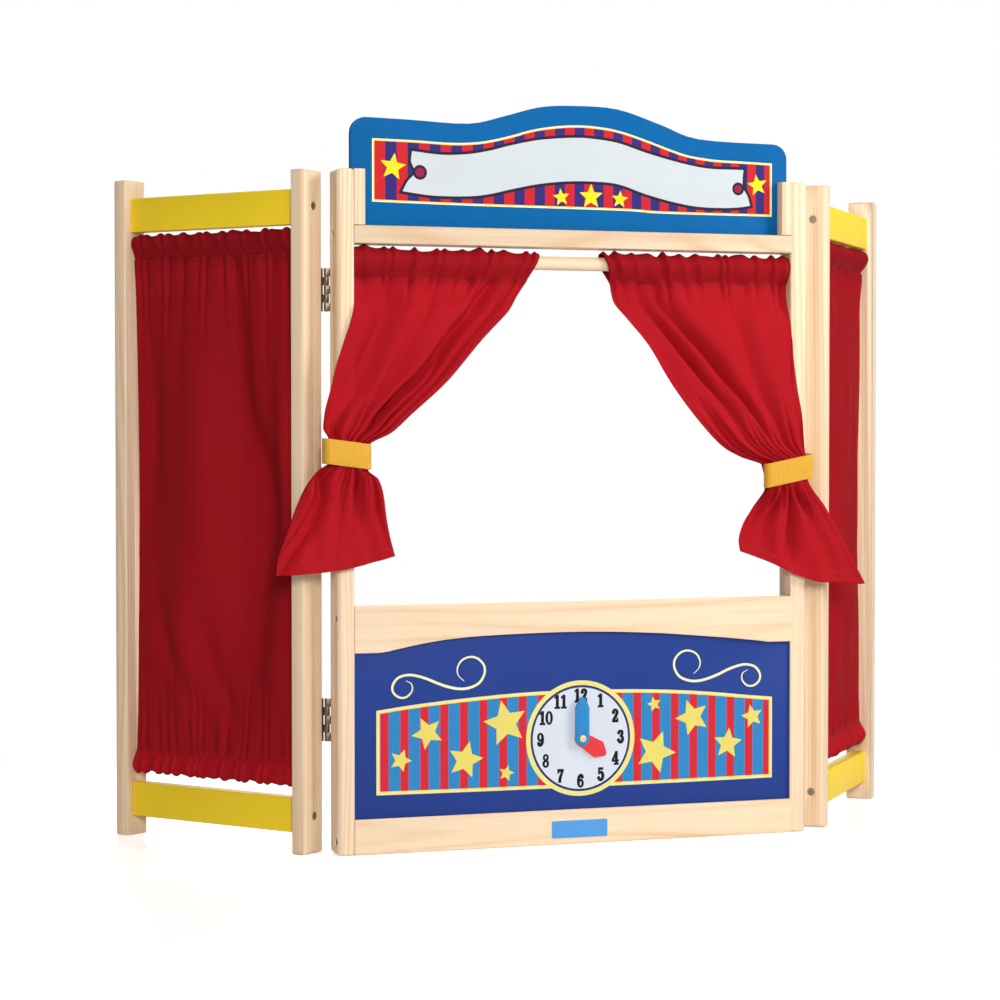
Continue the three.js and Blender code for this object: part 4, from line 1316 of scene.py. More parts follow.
def gathers(across, count, seed, wander=0.5):
    """An uneven ripple of so many gathers, from -1 to 1, puffed between sharp tucks."""
    random = np.random.default_rng(seed)
    turns = 2 * np.pi * count * across
    drift = np.zeros_like(across)
    for order in range(1, 7):
        phase, size = random.uniform(0, 2 * np.pi), random.uniform(0.4, 1)
        drift = drift + wander * size * np.sin(2 * np.pi * order * across * 1.3 + phase)
    swell = np.ones_like(across)
    for order in range(2, 8):
        phase, size = random.uniform(0, 2 * np.pi), random.uniform(0.3, 1)
        swell = swell + 0.26 * size * np.sin(2 * np.pi * order * across + phase)
    return (1 - 2 * np.abs(np.sin((turns + drift * 2.2) / 2)) ** 0.9) * np.clip(swell, 0.2, 2)


def sheet_mesh(name, places, width, length):
    """A mesh of quads from a grid of places, with its cloth size as its UV map."""
    rows, columns = places.shape[:2]
    vertices = places.reshape(-1, 3)
    index = np.arange(rows * columns).reshape(rows, columns)
    quads = np.stack([
        index[:-1, :-1], index[1:, :-1], index[1:, 1:], index[:-1, 1:]], axis=-1).reshape(-1, 4)
    mesh = mesh_from(name, vertices.tolist(), quads.tolist())
    layer = mesh.uv_layers.new(name="cloth")
    flat = np.zeros((rows * columns, 2))
    flat[:, 0] = np.tile(np.linspace(0, width, columns), rows)
    flat[:, 1] = np.repeat(np.linspace(0, length, rows), columns)
    corner = np.zeros(len(mesh.loops), np.int32)
    mesh.loops.foreach_get("vertex_index", corner)
    layer.data.foreach_set("uv", flat[corner].astype(np.float32).ravel())
    return mesh


def thickened(piece, thickness):
    solid = piece.modifiers.new("cloth_thickness", "SOLIDIFY")
    solid.thickness = thickness
    solid.offset = 0
    solid.use_even_offset = False


# Stage curtains, tied back, in millimetres. Reach is measured inwards from the stage's side.
# Keys run from 0 at the casing's seam to strap_top, on to strap_bottom and to hem_end.
# A fold has keys for its path, for its widths towards the outer and the inner edge, and for
# its depth. The flat sizes are in metres, width and then length.

strap_top = 1
strap_bottom = 1.2
hem_end = 2
stage_flats = {"left": (0.20, 0.30), "right": (0.21, 0.31)}
stage_fold_roundness = 1.6
columns_of_cloth = 168
rows_in_casing = 34
rows_above_tie = 110
rows_in_tie = 10
rows_in_tail = 84
casing_drop = 16.7
casing_height = 25
gather_count = 12
# The casing's painted shade fades out by this multiple of the casing's length
casing_shade_fade = 1.12
casing_slack = 1.6
casing_ripple = 1.5
seam_pinch_share = 0.22
seam_layers = (-0.2, 0.8)
side_hem_share = 0.035
post_gap = 0.9
post_lift_slope = 3
header_lift_slope = 45
header_lift_end = 0.3
crown_rim_share = 0.6
stage_hem_start = 1.9
hem_step = 0.012
hem_lift = 0.55
gather_keys = [(0, 2.0), (0.03, 1.6), (0.08, 0.7), (0.16, 0.25), (0.32, 0), (1, 0)]
pleat_count = 6
pleat_wander = 0.3
pleat_keys = [(0, 0), (0.6, 0.1), (0.9, 1.9), (1, 1.5), (1.2, 1.5), (1.28, 1.9), (1.5, 0.2), (2, 0)]
ease_keys = [(0, 0.4), (0.3, 0.9), (0.8, 0.7), (1, 0.2), (1.2, 0.2), (1.5, 1.0), (2, 1.2)]


left_curtain = SimpleNamespace(
    header=191,
    outer=[(0, 16.2), (0.12, 16), (0.214, 13.5), (0.4, 4.4), (0.53, -1.9), (0.677, -7.2),
           (0.834, -12.4), (0.92, -13.4), (1, -8.8), (1.2, -8.8), (1.26, -18), (1.397, -31),
           (1.69, -46), (1.9, -54), (2, -55)],
    inner=[(0, 179), (0.165, 160.1), (0.343, 133.4), (0.586, 100.5), (0.788, 67.1),
           (0.911, 48), (1, 27.5), (1.2, 26.5), (1.28, 36), (1.387, 40), (1.6, 43), (1.8, 46.5),
           (2, 51)],
    outer_height=[(0, 505), (1, 364.7), (1.2, 344), (1.5, 308), (2, 246.5)],
    inner_height=[(0, 505), (1, 359), (1.2, 338), (1.5, 306), (2, 262)],
    sag=[(0, 0), (0.2, -2), (0.55, -4), (0.85, -1.5), (1, 0)],
    depth=[(0, 7), (0.08, 4), (0.2, -7.5), (0.4, -10), (0.7, -12), (1, -14.3), (1.2, -14.3),
           (1.5, -14), (2, -13)],
    crown=[(0, 0.3), (0.4, 1.5), (0.85, 4.5), (1, 5.8), (1.2, 5.8), (1.35, 5), (2, 1)],
    slack=[(0, 4.3), (0.15, 3.6), (0.35, 2.4), (0.7, 2.6), (1, 1.2)],
    folds=[
        ([(0, 0.80), (0.22, 0.765), (0.46, 0.755), (0.7, 0.66), (0.93, 0.61), (1, 0.62)],
         [(0, (0.03, 0.07)), (0.3, (0.045, 0.13)), (0.7, (0.04, 0.13)), (1, (0.03, 0.07))],
         [(0, 4), (0.15, 15), (0.5, 21), (0.85, 15), (1, 6)]),
        ([(0.4, 0.80), (0.56, 0.84), (0.72, 0.82), (0.94, 0.76), (1, 0.77)],
         [(0.4, (0.02, 0.05)), (1, (0.025, 0.05))], [(0.4, 0), (0.6, 6), (0.9, 8), (1, 4)]),
        ([(0, 0.90), (0.3, 0.905), (0.56, 0.91), (0.76, 0.9), (1, 0.885)],
         [(0, (0.03, 0.03)), (1, (0.035, 0.03))], [(0, 1), (0.2, 4), (0.7, 6), (1, 4)]),
        ([(0, 0.25), (0.14, 0.2), (0.36, 0.22), (0.58, 0.2), (0.8, 0.145), (1, 0.12)],
         [(0, (0.07, 0.08)), (0.4, (0.07, 0.16)), (1, (0.05, 0.1))],
         [(0, 1), (0.15, 9), (0.5, 15), (0.8, 16), (1, 6)]),
        ([(0, 0.47), (0.4, 0.50), (1, 0.45)],
         [(0, (0.06, 0.1)), (1, (0.07, 0.1))], [(0, 1), (0.25, 8), (0.6, 9), (1, 4)]),
        ([(0.35, 0.05), (0.7, 0.06), (1, 0.05)],
         [(0.35, (0.03, 0.03)), (1, (0.04, 0.04))], [(0.35, 0), (0.6, 3), (0.85, 5), (1, 3)]),
        ([(0.6, 0.42), (0.85, 0.40), (1, 0.41)],
         [(0.6, (0.05, 0.03)), (1, (0.04, 0.03))], [(0.6, 0), (0.85, 5), (1, 4)]),
        ([(1.2, 0.04), (1.25, 0.05), (1.46, 0.21), (1.6, 0.18), (1.856, 0.07), (2, 0)],
         [(1.2, (0.05, 0.04)), (1.5, (0.05, 0.1)), (2, (0.05, 0.07))],
         [(1.2, 2), (1.36, 14), (1.7, 16), (2, 6)]),
        ([(1.2, 0.60), (1.43, 0.65), (1.62, 0.72), (2, 0.8)],
         [(1.2, (0.03, 0.06)), (1.5, (0.05, 0.12)), (2, (0.12, 0.2))],
         [(1.2, 3), (1.34, 12), (1.6, 7), (2, 1)]),
        ([(1.2, 0.42), (1.5, 0.47), (2, 0.5)],
         [(1.2, (0.03, 0.04)), (2, (0.08, 0.08))], [(1.2, 3), (1.34, 8), (1.6, 2), (2, 0)]),
        ([(1.2, 0.90), (1.5, 0.92), (2, 0.95)],
         [(1.2, (0.04, 0.03)), (2, (0.06, 0.04))], [(1.2, 2), (1.4, 8), (1.8, 3), (2, 1)]),
    ],
    seed=11)

right_curtain = SimpleNamespace(
    header=199.5,
    outer=[(0, 15.9), (0.132, 16.5), (0.379, 15), (0.57, 11), (0.76, 5.8), (0.95, 5),
           (1, 4), (1.2, 2.5), (1.438, -17.6), (1.729, -39.3), (1.92, -51.4), (2, -56.5)],
    inner=[(0, 191), (0.091, 189.3), (0.19, 178.3), (0.33, 158.3), (0.517, 137.5),
           (0.731, 109.7), (0.883, 86), (0.946, 68.7), (1, 48.5), (1.2, 44.5), (1.467, 57.3),
           (1.68, 67.2), (1.89, 71.5), (2, 70.5)],
    outer_height=[(0, 505), (1, 350.3), (1.2, 329), (1.5, 291), (2, 229.5)],
    inner_height=[(0, 505), (1, 340.5), (1.2, 320), (1.5, 298), (2, 261.5)],
    sag=[(0, 0), (0.05, -2), (0.25, -6), (0.4, -10), (0.52, -9), (0.8, -2.5), (1, 0)],
    depth=[(0, 7), (0.08, 4), (0.25, -7.5), (0.4, -10), (0.7, -12), (1, -14.3), (1.2, -14.3),
           (1.5, -14), (2, -13)],
    crown=[(0, 0.3), (0.4, 1.5), (0.85, 4.5), (1, 5.8), (1.2, 5.8), (1.35, 5), (2, 1)],
    slack=[(0, 2.2), (0.4, 2.4), (0.75, 2.2), (0.9, 2.8), (1, 2)],
    folds=[
        ([(0, 0.84), (0.3, 0.82), (0.5, 0.75), (0.7, 0.68), (1, 0.72)],
         [(0, (0.07, 0.02)), (0.5, (0.05, 0.02)), (1, (0.05, 0.03))],
         [(0, 3), (0.15, 10), (0.4, 13), (0.7, 7), (1, 4)]),
        ([(0, 0.75), (0.25, 0.70), (0.46, 0.60), (0.7, 0.47), (0.9, 0.42), (1, 0.45)],
         [(0, (0.06, 0.02)), (0.5, (0.08, 0.022)), (1, (0.06, 0.03))],
         [(0, 2), (0.15, 11), (0.5, 15), (0.85, 12), (1, 5)]),
        ([(0, 0.36), (0.2, 0.34), (0.58, 0.33), (0.8, 0.27), (1, 0.25)],
         [(0, (0.1, 0.08)), (0.6, (0.1, 0.07)), (1, (0.05, 0.05))],
         [(0, 0), (0.2, 6), (0.6, 10), (0.9, 11), (1, 5)]),
        ([(0, 0.03), (0.45, 0.02), (0.7, 0.035), (1, 0.07)],
         [(0, (0.03, 0.025)), (1, (0.05, 0.03))], [(0, 0.5), (0.3, 4), (0.8, 7), (1, 4)]),
        ([(0.55, 0.88), (0.8, 0.86), (1, 0.87)],
         [(0.55, (0.03, 0.04)), (1, (0.04, 0.04))], [(0.55, 0), (0.8, 5), (1, 3)]),
        ([(0.7, 0.57), (0.9, 0.58), (1, 0.59)],
         [(0.7, (0.03, 0.02)), (1, (0.03, 0.03))], [(0.7, 0), (0.9, 6), (1, 4)]),
        ([(1.2, 0.96), (1.5, 0.93), (2, 0.95)],
         [(1.2, (0.06, 0.05)), (1.5, (0.08, 0.06)), (2, (0.1, 0.08))],
         [(1.2, 2), (1.38, 9), (1.7, 4), (2, 0.5)]),
        ([(1.2, 0.67), (1.42, 0.74), (1.62, 0.8), (2, 0.84)],
         [(1.2, (0.03, 0.03)), (1.5, (0.06, 0.04)), (2, (0.1, 0.1))],
         [(1.2, 4), (1.34, 12), (1.6, 7), (2, 0)]),
        ([(1.2, 0.54), (1.5, 0.545), (2, 0.57)],
         [(1.2, (0.03, 0.02)), (1.5, (0.06, 0.025)), (2, (0.08, 0.06))],
         [(1.2, 3), (1.34, 12), (1.7, 9), (2, 1)]),
        ([(1.2, 0.44), (1.35, 0.36), (1.5, 0.27), (2, 0.2)],
         [(1.2, (0.06, 0.03)), (1.5, (0.12, 0.06)), (2, (0.12, 0.1))],
         [(1.2, 3), (1.36, 9), (1.6, 6), (2, 0.5)]),
        ([(1.2, 0.1), (1.4, 0.09), (1.7, 0.07), (2, 0.06)],
         [(1.2, (0.05, 0.03)), (2, (0.05, 0.04))], [(1.2, 2), (1.35, 6), (1.6, 3), (2, 1)]),
    ],
    seed=23)


def row_shares():
    """How far along the cloth each row lies: below 0 it goes round the rod."""
    return np.concatenate([
        np.linspace(-1, 0, rows_in_casing, endpoint=False),
        np.linspace(0, strap_top, rows_above_tie, endpoint=False),
        np.linspace(strap_top, strap_bottom, rows_in_tie, endpoint=False),
        np.linspace(strap_bottom, hem_end, rows_in_tail + 1)])


def grid_shares(rows, columns):
    """The share across and the share along of each place of a grid."""
    return np.meshgrid(np.linspace(0, 1, columns + 1), rows)


def round_rod(loop, radius, rod_z, seam_z, middle, ripple):
    """Height and depth of cloth that goes round a rod, from its seam and back to it."""
    angle = 2 * np.pi * loop
    down = math.copysign(1, seam_z - rod_z)
    pinch = np.clip(1 - np.minimum(loop, 1 - loop) / seam_pinch_share, 0, 1) ** 1.5
    height = (rod_z + down * np.cos(angle) * radius) * (1 - pinch) + seam_z * pinch
    seam_y = middle + np.where(loop > 0.5, seam_layers[1], seam_layers[0]) + ripple
    return height, (middle - np.sin(angle) * radius) * (1 - pinch) + seam_y * pinch


def hemmed(across, along):
    """How far the doubled cloth of the hems stands to the front."""
    lower = np.clip((along - stage_hem_start) / hem_step, 0, 1)
    sides = np.clip((np.abs(2 * across - 1) - 1 + 2 * side_hem_share) / hem_step, 0, 1)
    return -hem_lift * np.maximum(lower, sides)


def tied_grid(side, form):
    """Places of one tied-back curtain, casing first."""
    s, t = grid_shares(row_shares(), columns_of_cloth)
    body = np.clip(t, 0, hem_end)
    seam_z = rod_height - casing_drop
    ripple = gathers(s, gather_count, form.seed)
    y = keyed(body, form.depth) + ripple * keyed(body, gather_keys)
    crown = keyed(body, form.crown)
    off_middle = np.abs(2 * s - 1)
    y = y - crown * (1 - off_middle ** 3) + crown_rim_share * crown * off_middle ** 8
    y = y + gathers(s, pleat_count, form.seed + 1, pleat_wander) * keyed(body, pleat_keys)
    y = y + waves(s, body, form.seed + 2) * keyed(body, ease_keys)
    y = y + folded(s, body, form.folds, stage_fold_roundness) + hemmed(s, body)
    height = keyed(body, form.outer_height) * (1 - s) + keyed(body, form.inner_height) * s
    tail = np.clip((body - strap_bottom) / (hem_end - strap_bottom), 0, 1)
    height = height + keyed(s, form.sag) * tail
    loop = np.clip(-t, 0, 1)
    radius = rod_radius + casing_slack + keyed(s, form.slack) + casing_ripple * ripple
    casing_z, casing_y = round_rod(loop, radius, rod_height, seam_z, middle_y, ripple)
    height = np.where(t < 0, casing_z, height)
    y = np.where(t < 0, casing_y, y)
    lean = np.clip((height - seam_z) / casing_height, 0, 1)
    inner = keyed(body, form.inner) + lean * (form.header - form.inner[0][1])
    reach = keyed(body, form.outer) * (1 - s) + inner * s
    clear_of_post = front_y - post_gap
    clear_of_post = clear_of_post + post_lift_slope * np.clip(reach - post_width, 0, None)
    clear_of_post = clear_of_post + header_lift_slope * np.clip(header_lift_end - body, 0, None)
    y = np.where(t < 0, y, np.minimum(y, clear_of_post))
    return np.stack([side * (half_width - reach), y, height], axis=-1)


def folded(across, along, folds, roundness):
    """All the folds of a cloth, each only between its own ends."""
    depth = np.zeros_like(across)
    for path, widths, depths in folds:
        inside = (along >= depths[0][0]) & (along <= depths[-1][0])
        depth = depth + inside * valley(across, along, path, widths, depths, roundness)
    return depth


def waves(across, along, seed):
    """Soft uneven waves that run mostly along the cloth, from about -1 to 1."""
    random = np.random.default_rng(seed)
    total = np.zeros_like(across)
    for _ in range(14):
        turns = random.uniform(1, 6), random.uniform(-1.6, 1.6)
        phase = random.uniform(0, 2 * np.pi)
        total = total + np.sin(2 * np.pi * (turns[0] * across + turns[1] * along) + phase)
    return total / 4


def stage_curtain(side, form):
    name = side_names[side] + "_stage_curtain"
    flat = stage_flats[side_names[side]]
    places = tied_grid(side, form)
    if side < 0:
        places = places[:, ::-1]
    mesh = sheet_mesh(name, places, *flat)
    hem_row = int(np.searchsorted(row_shares(), stage_hem_start + 0.5 * hem_step))
    sew("stage", places, (rows_in_casing, hem_row))
    casing = flat[1] * rows_in_casing / (len(row_shares()) - 1)
    # Painted shade over the casing, where the cloth is doubled
    finish = curtain_cloth("stage", [(casing, casing * casing_shade_fade)])
    piece = piece_from(name + "_cloth", mesh, "stage", "red_cloth", finish)
    thickened(piece, sizes().cloth_thickness)
    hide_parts(name)


# Tie straps: webbing in a loop round the post and the bundle

strap_width = 22
front_round = 5
outer_bend_round = 1.4
post_bend_round = 0.6
inner_bend_round = 3
back_round = 1.8
strap_bend = 4.5
strap_slant = 9
strap_edge_round = 0.5
strap_stand_off = 0.4
webbing_edge_angle = math.radians(50)
# The reach of the front's two ends, and how far it falls from one to the other
strap_loops = {"left": (-14.6, 30.4, 5.8), "right": (0.6, 51.6, 10)}


def rounded_loop(points, radii, steps=6):
    """A closed line whose corners are arcs."""
    line = []
    count = len(points)
    for index, (point, radius) in enumerate(zip(points, radii)):
        before = (points[index - 1] - point).normalized()
        after = (points[(index + 1) % count] - point).normalized()
        half = before.angle(after) / 2
        run = radius / math.tan(half)
        centre = point + (before + after).normalized() * radius / math.sin(half)
        start, end = point + before * run - centre, point + after * run - centre
        total = start.angle_signed(end)
        for step in range(steps + 1):
            turn = Matrix.Rotation(-total * step / steps, 2)
            line.append(centre + turn @ start)
    return line


def tie_strap(side):
    name = side_names[side] + "_tie_strap"
    low, high = corners(name)
    inset = sizes().webbing_thickness / MM / 2
    outer, inner, fall = strap_loops[side_names[side]]
    near, far = low.y + inset, high.y - inset
    post_side = -strap_stand_off - inset
    post_reach = post_width + strap_stand_off + inset
    corners_of_loop = [
        Vector((outer, near)), Vector((outer, front_y - strap_bend)),
        Vector((post_side, front_y - post_gap)), Vector((post_side, far)),
        Vector((post_reach, far)), Vector((inner - strap_slant, front_y - post_gap)),
        Vector((inner, near))]
    line = rounded_loop(corners_of_loop, [
        front_round, outer_bend_round, post_bend_round, back_round, back_round,
        inner_bend_round, front_round])
    middle_height = (low.z + high.z) / 2
    count = len(line)
    section = rounded_outline(
        -inset, -strap_width / 2, inset, strap_width / 2, strap_edge_round, 3)
    vertices, travelled = [], [0]
    for index, point in enumerate(line):
        before, after = line[index - 1], line[(index + 1) % count]
        along = (after - before).normalized()
        across = Vector((along.y, -along.x))
        level = middle_height - (point.x - (outer + inner) / 2) / (inner - outer) * fall
        for out, up in section:
            place = point + across * out
            vertices.append((side * (half_width - place.x), place.y, level + up))
        travelled.append(travelled[-1] + (after - point).length)
    ring = len(section)
    faces, spots = [], []
    for index in range(count):
        after = (index + 1) % count
        for step in range(ring):
            follow = (step + 1) % ring
            faces.append((index * ring + step, index * ring + follow,
                          after * ring + follow, after * ring + step))
            low_up, high_up = section[step][1], section[follow][1]
            start, end = travelled[index], travelled[index + 1]
            spots += [start, low_up, start, high_up, end, high_up, end, low_up]
    mesh = mesh_from(name + "_webbing", vertices, faces)
    layer = mesh.uv_layers.new(name="cloth")
    layer.data.foreach_set("uv", [value * MM for value in spots])
    turned_out(mesh)
    sharpen(mesh, webbing_edge_angle)
    piece = piece_from(name + "_webbing", mesh, "stage", "yellow_webbing", strap_webbing())
    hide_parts(name)


# Stitches along the seams and the hems, one of them for each point

stitch_step = 3.0
stitch_length = 2.1
stitch_radius = 0.28
stitch_lift_share = 0.3
sewn = {}


def stitch_tree():
    """A short thread, its length along +Z, on every point."""
    maker = NodeMaker("stitches")
    radius = maker.add_input("Radius", "NodeSocketFloat", stitch_radius * MM)
    half_length = maker.add_input("Half Length", "NodeSocketFloat", stitch_length / 2 * MM)
    finish = maker.add_input("Material", "NodeSocketMaterial")
    ball = maker.node("GeometryNodeMeshUVSphere", {"Segments": 6, "Rings": 5, "Radius": 1.0})
    thread = maker.node("GeometryNodeTransform", {
        "Geometry": ball.outputs["Mesh"], "Scale": maker.vector(radius, radius, half_length)})
    aim = maker.node("GeometryNodeInputNamedAttribute", {"Name": "aim"}, data_type="FLOAT_VECTOR")
    turned = maker.node("FunctionNodeAlignRotationToVector", {"Vector": aim.outputs[0]}, axis="Z")
    placed = maker.node("GeometryNodeInstanceOnPoints", {
        "Points": maker.inlet.outputs["Geometry"], "Instance": thread.outputs[0],
        "Rotation": turned.outputs[0]}).outputs[0]
    return maker.finish(placed, finish), maker.identifiers


def sew(body, places, rows):
    """Notes stitches on both faces of a cloth, along some rows of its grid."""
    spots = sewn.setdefault(body, [])
    lift = sizes().cloth_thickness / MM / 2 + stitch_lift_share * stitch_radius
    for row in rows:
        line = [Vector(place) for place in places[row]]
        beside = [Vector(place) for place in places[row + 1]]
        due = stitch_step / 2
        for start, end, other in zip(line, line[1:], beside):
            run = (end - start).length
            while due <= run:
                along = (end - start).normalized()
                face = along.cross(other - start).normalized()
                for turn in (-1, 1):
                    spots.append((start + along * due + face * lift * turn, along))
                due += stitch_step
            due -= run


def stitch_pieces(bodies):
    tree, identifiers = stitch_tree()
    for body in bodies:
        points = pointed_mesh(body, sewn[body])
        mesh = plain_from_tree(body + "_stitches", points, tree, identifiers, {
            "Material": thread_material()})
        piece_from(body + "_stitches", mesh, body, "red_cloth", thread_material())


# Curtains of the wings, gathered on a rod at the top and at the bottom, in millimetres. Keys
# run from 0 at the upper casing's seam to 1 at the lower one's. The flat size is in metres.

wing_flat = (0.22, 0.56)
wing_fold_roundness = 2
wing_side_gap = 1
wing_casing_slack = 2.2
wing_casing_ripple = 1.2
lower_extra_gathers = 3
wing_columns = 168
wing_rows = 150
wing_gather_count = 13
wing_casing_drop = 16
wing_upper_keys = [(0, 2.6), (0.015, 2.5), (0.06, 1.2), (0.14, 0.45), (0.3, 0.1), (1, 0)]
wing_lower_keys = [(0, 0), (0.8, 0.1), (0.92, 0.6), (0.985, 1.9), (1, 1.8)]
wing_ease_keys = [(0, 0.3), (0.2, 1.3), (0.8, 1.5), (1, 0.4)]
wing_draw_in = 4
wing_forms = {
    "left": SimpleNamespace(seed=31, folds=[
        ([(0, 0.60), (0.2, 0.62), (0.5, 0.58), (0.8, 0.66), (1, 0.64)],
         [(0, (0.10, 0.16)), (0.5, (0.15, 0.24)), (1, (0.12, 0.18))],
         [(0, -0.5), (0.15, -6), (0.5, -13), (0.85, -8), (1, -1)]),
        ([(0, 0.37), (0.25, 0.36), (0.5, 0.22), (0.75, 0.3), (1, 0.36)],
         [(0, (0.06, 0.08)), (0.3, (0.08, 0.14)), (0.6, (0.12, 0.18)), (1, (0.09, 0.12))],
         [(0, 1), (0.15, 7), (0.5, 12), (0.8, 9), (1, 1)]),
        ([(0.15, 0.1), (0.4, 0.08), (0.7, 0.1)],
         [(0.15, (0.05, 0.05)), (0.7, (0.05, 0.05))], [(0.15, 0), (0.4, -5), (0.7, 0)]),
        ([(0.1, 0.9), (0.3, 0.88), (0.6, 0.93)],
         [(0.1, (0.06, 0.05)), (0.6, (0.06, 0.05))], [(0.1, 0), (0.35, 4), (0.6, 0)]),
        ([(0.6, 0.93), (0.78, 0.8), (0.98, 0.5)],
         [(0.6, (0.06, 0.08)), (0.98, (0.05, 0.07))], [(0.6, 0), (0.8, 5), (0.98, 0)]),
        ([(0.7, 0.6), (0.85, 0.5), (1, 0.35)],
         [(0.7, (0.06, 0.07)), (1, (0.05, 0.06))], [(0.7, 0), (0.87, 5), (1, 0)]),
    ]),
    "right": SimpleNamespace(seed=47, folds=[
        ([(0, 0.30), (0.3, 0.34), (0.6, 0.40), (1, 0.36)],
         [(0, (0.06, 0.06)), (1, (0.07, 0.07))], [(0, -1.5), (0.2, -8), (0.7, -8), (1, -2)]),
        ([(0, 0.62), (0.5, 0.66), (1, 0.70)],
         [(0, (0.04, 0.08)), (1, (0.05, 0.1))], [(0, 1), (0.3, 6), (0.8, 6), (1, 2)]),
        ([(0, 0.12), (0.5, 0.10), (1, 0.14)],
         [(0, (0.06, 0.05)), (1, (0.06, 0.06))], [(0, 1), (0.3, 4), (0.8, 5), (1, 2)]),
    ]),
}


def rod_middle(node):
    """Height and radius of a level rod."""
    low, high = corners(node)
    return (high.z + low.z) / 2, (high.z - low.z) / 2


def wing_sheet(side, form, start, end, depth_middle):
    """Places of a wing's curtain: upper casing, body, lower casing."""
    upper_z, radius = rod_middle(side_names[side] + "_wing_upper_rod")
    lower_z, _ = rod_middle(side_names[side] + "_wing_lower_rod")
    top_seam, bottom_seam = upper_z - wing_casing_drop, lower_z + wing_casing_drop
    rows = np.concatenate([
        np.linspace(-1, 0, rows_in_casing, endpoint=False),
        np.linspace(0, 1, wing_rows, endpoint=False),
        np.linspace(1, 2, rows_in_casing + 1)])
    s, t = grid_shares(rows, wing_columns)
    body = np.clip(t, 0, 1)
    upper = gathers(s, wing_gather_count, form.seed)
    lower = gathers(s, wing_gather_count + lower_extra_gathers, form.seed + 1)
    height = top_seam + (bottom_seam - top_seam) * body
    y = upper * keyed(body, wing_upper_keys) + lower * keyed(body, wing_lower_keys)
    y = y + waves(s, body, form.seed + 2) * keyed(body, wing_ease_keys)
    y = y + folded(s, body, form.folds, wing_fold_roundness)
    loose = radius + wing_casing_slack
    upper_casing = round_rod(
        np.clip(-t, 0, 1), loose + wing_casing_ripple * upper, upper_z, top_seam, 0, upper)
    lower_casing = round_rod(
        np.clip(t - 1, 0, 1), loose + wing_casing_ripple * lower, lower_z, bottom_seam, 0, lower)
    for inside, (casing_z, casing_y) in ((t < 0, upper_casing), (t > 1, lower_casing)):
        height = np.where(inside, casing_z, height)
        y = np.where(inside, casing_y, y)
    drawn_in = wing_draw_in * s ** 4 * np.sin(np.pi * body)
    along = start + (end - start) * s - drawn_in
    origin = np.array(wing_place(side, 0, 0, 0))
    run = np.array(wing_direction(side, 1, 0))
    back = np.array(wing_direction(side, 0, 1))
    places = origin + along[..., None] * run + (depth_middle + y)[..., None] * back
    places[..., 2] = height
    return places


def wing_curtain(side, form):
    body = side_names[side] + "_wing"
    name = body + "_curtain"
    pivot = wing_place(side, 0, 0, 0)
    start = abs(pivot.x) - half_width + post_width + wing_side_gap
    end = wing_length(side) - post_width - wing_side_gap
    places = wing_sheet(side, form, start, end, middle_y - pivot.y)
    if side < 0:
        places = places[:, ::-1]
    mesh = sheet_mesh(name, places, *wing_flat)
    sew(body, places, (rows_in_casing, rows_in_casing + wing_rows))
    length = wing_flat[1]
    casing = length * rows_in_casing / (wing_rows + 2 * rows_in_casing)
    # Painted shade over both casings, where the cloth is doubled
    shaded_casings = [(casing, casing * casing_shade_fade), (length - casing, length - casing / casing_shade_fade)]
    finish = curtain_cloth("wing", shaded_casings)
    piece = piece_from(name + "_cloth", mesh, body, "red_cloth", finish)
    thickened(piece, sizes().cloth_thickness)
    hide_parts(name)


def wing_length(side):
    """How far the far post's outer side is from the hinge's axis."""
    vertices = frame["nodes"][side_names[side] + "_wing_far_post"].data.vertices
    pivot, run = wing_place(side, 0, 0, 0), wing_direction(side, 1, 0)
    return max((vertex.co / MM - pivot).dot(run) for vertex in vertices)


# Operators, one for each group of pieces, and the edge rounds of their solids in millimetres

post_end_round = 2.4
sign_edge_round = 0.7
panel_edge_round = 0.2
hand_edge_round = 0.6
pin_edge_round = 0.2
leaf_edge_round = 0.15


class THEATER_OT_stage_wood(bpy.types.Operator):
    """Finish the posts, rails, cleats and rods in varnished pine"""

    bl_idname = "theater.stage_wood"
    bl_label = "Wood"

    def execute(self, context):
        for side in ("left", "right"):
            for node in ("stage_post", "wing_near_post", "wing_far_post"):
                dressed(f"{side}_{node}", upright_wood(), end_round=post_end_round)
            for node in ("front_cleat", "rear_cleat"):
                dressed(f"{side}_{node}", upright_wood())
            for node in ("wing_upper_rod", "wing_lower_rod"):
                dressed(f"{side}_{node}", dowel_wood())
        for node in ("top_rail", "sill_rail", "bottom_rail"):
            dressed(node, level_wood(node))
        dressed("stage_rod", dowel_wood())
        return {"FINISHED"}


class THEATER_OT_painted_rails(bpy.types.Operator):
    """Paint the rails of the wings yellow"""

    bl_idname = "theater.painted_rails"
    bl_label = "Painted rails"

    def execute(self, context):
        for side in ("left", "right"):
            for level in ("top", "bottom"):
                dressed(f"{side}_wing_{level}_rail", yellow_paint())
        return {"FINISHED"}


class THEATER_OT_sign(bpy.types.Operator):
    """Paint the sign board and print its striped field and bare ribbon"""

    bl_idname = "theater.sign"
    bl_label = "Sign board"

    def execute(self, context):
        dressed("sign_board", sign_blue(), sign_edge_round)
        printed("sign_print", sign_layers(), board_front, "sign", "sign_blue")
        return {"FINISHED"}


class THEATER_OT_apron(bpy.types.Operator):
    """Print the apron panel, and set the bare plate below it"""

    bl_idname = "theater.apron"
    bl_label = "Apron and dial"

    def execute(self, context):
        dressed("apron_panel", navy_board(), panel_edge_round)
        printed("apron_print", apron_layers(), panel_front, "stage", "navy_panel")
        label_plate()
        return {"FINISHED"}


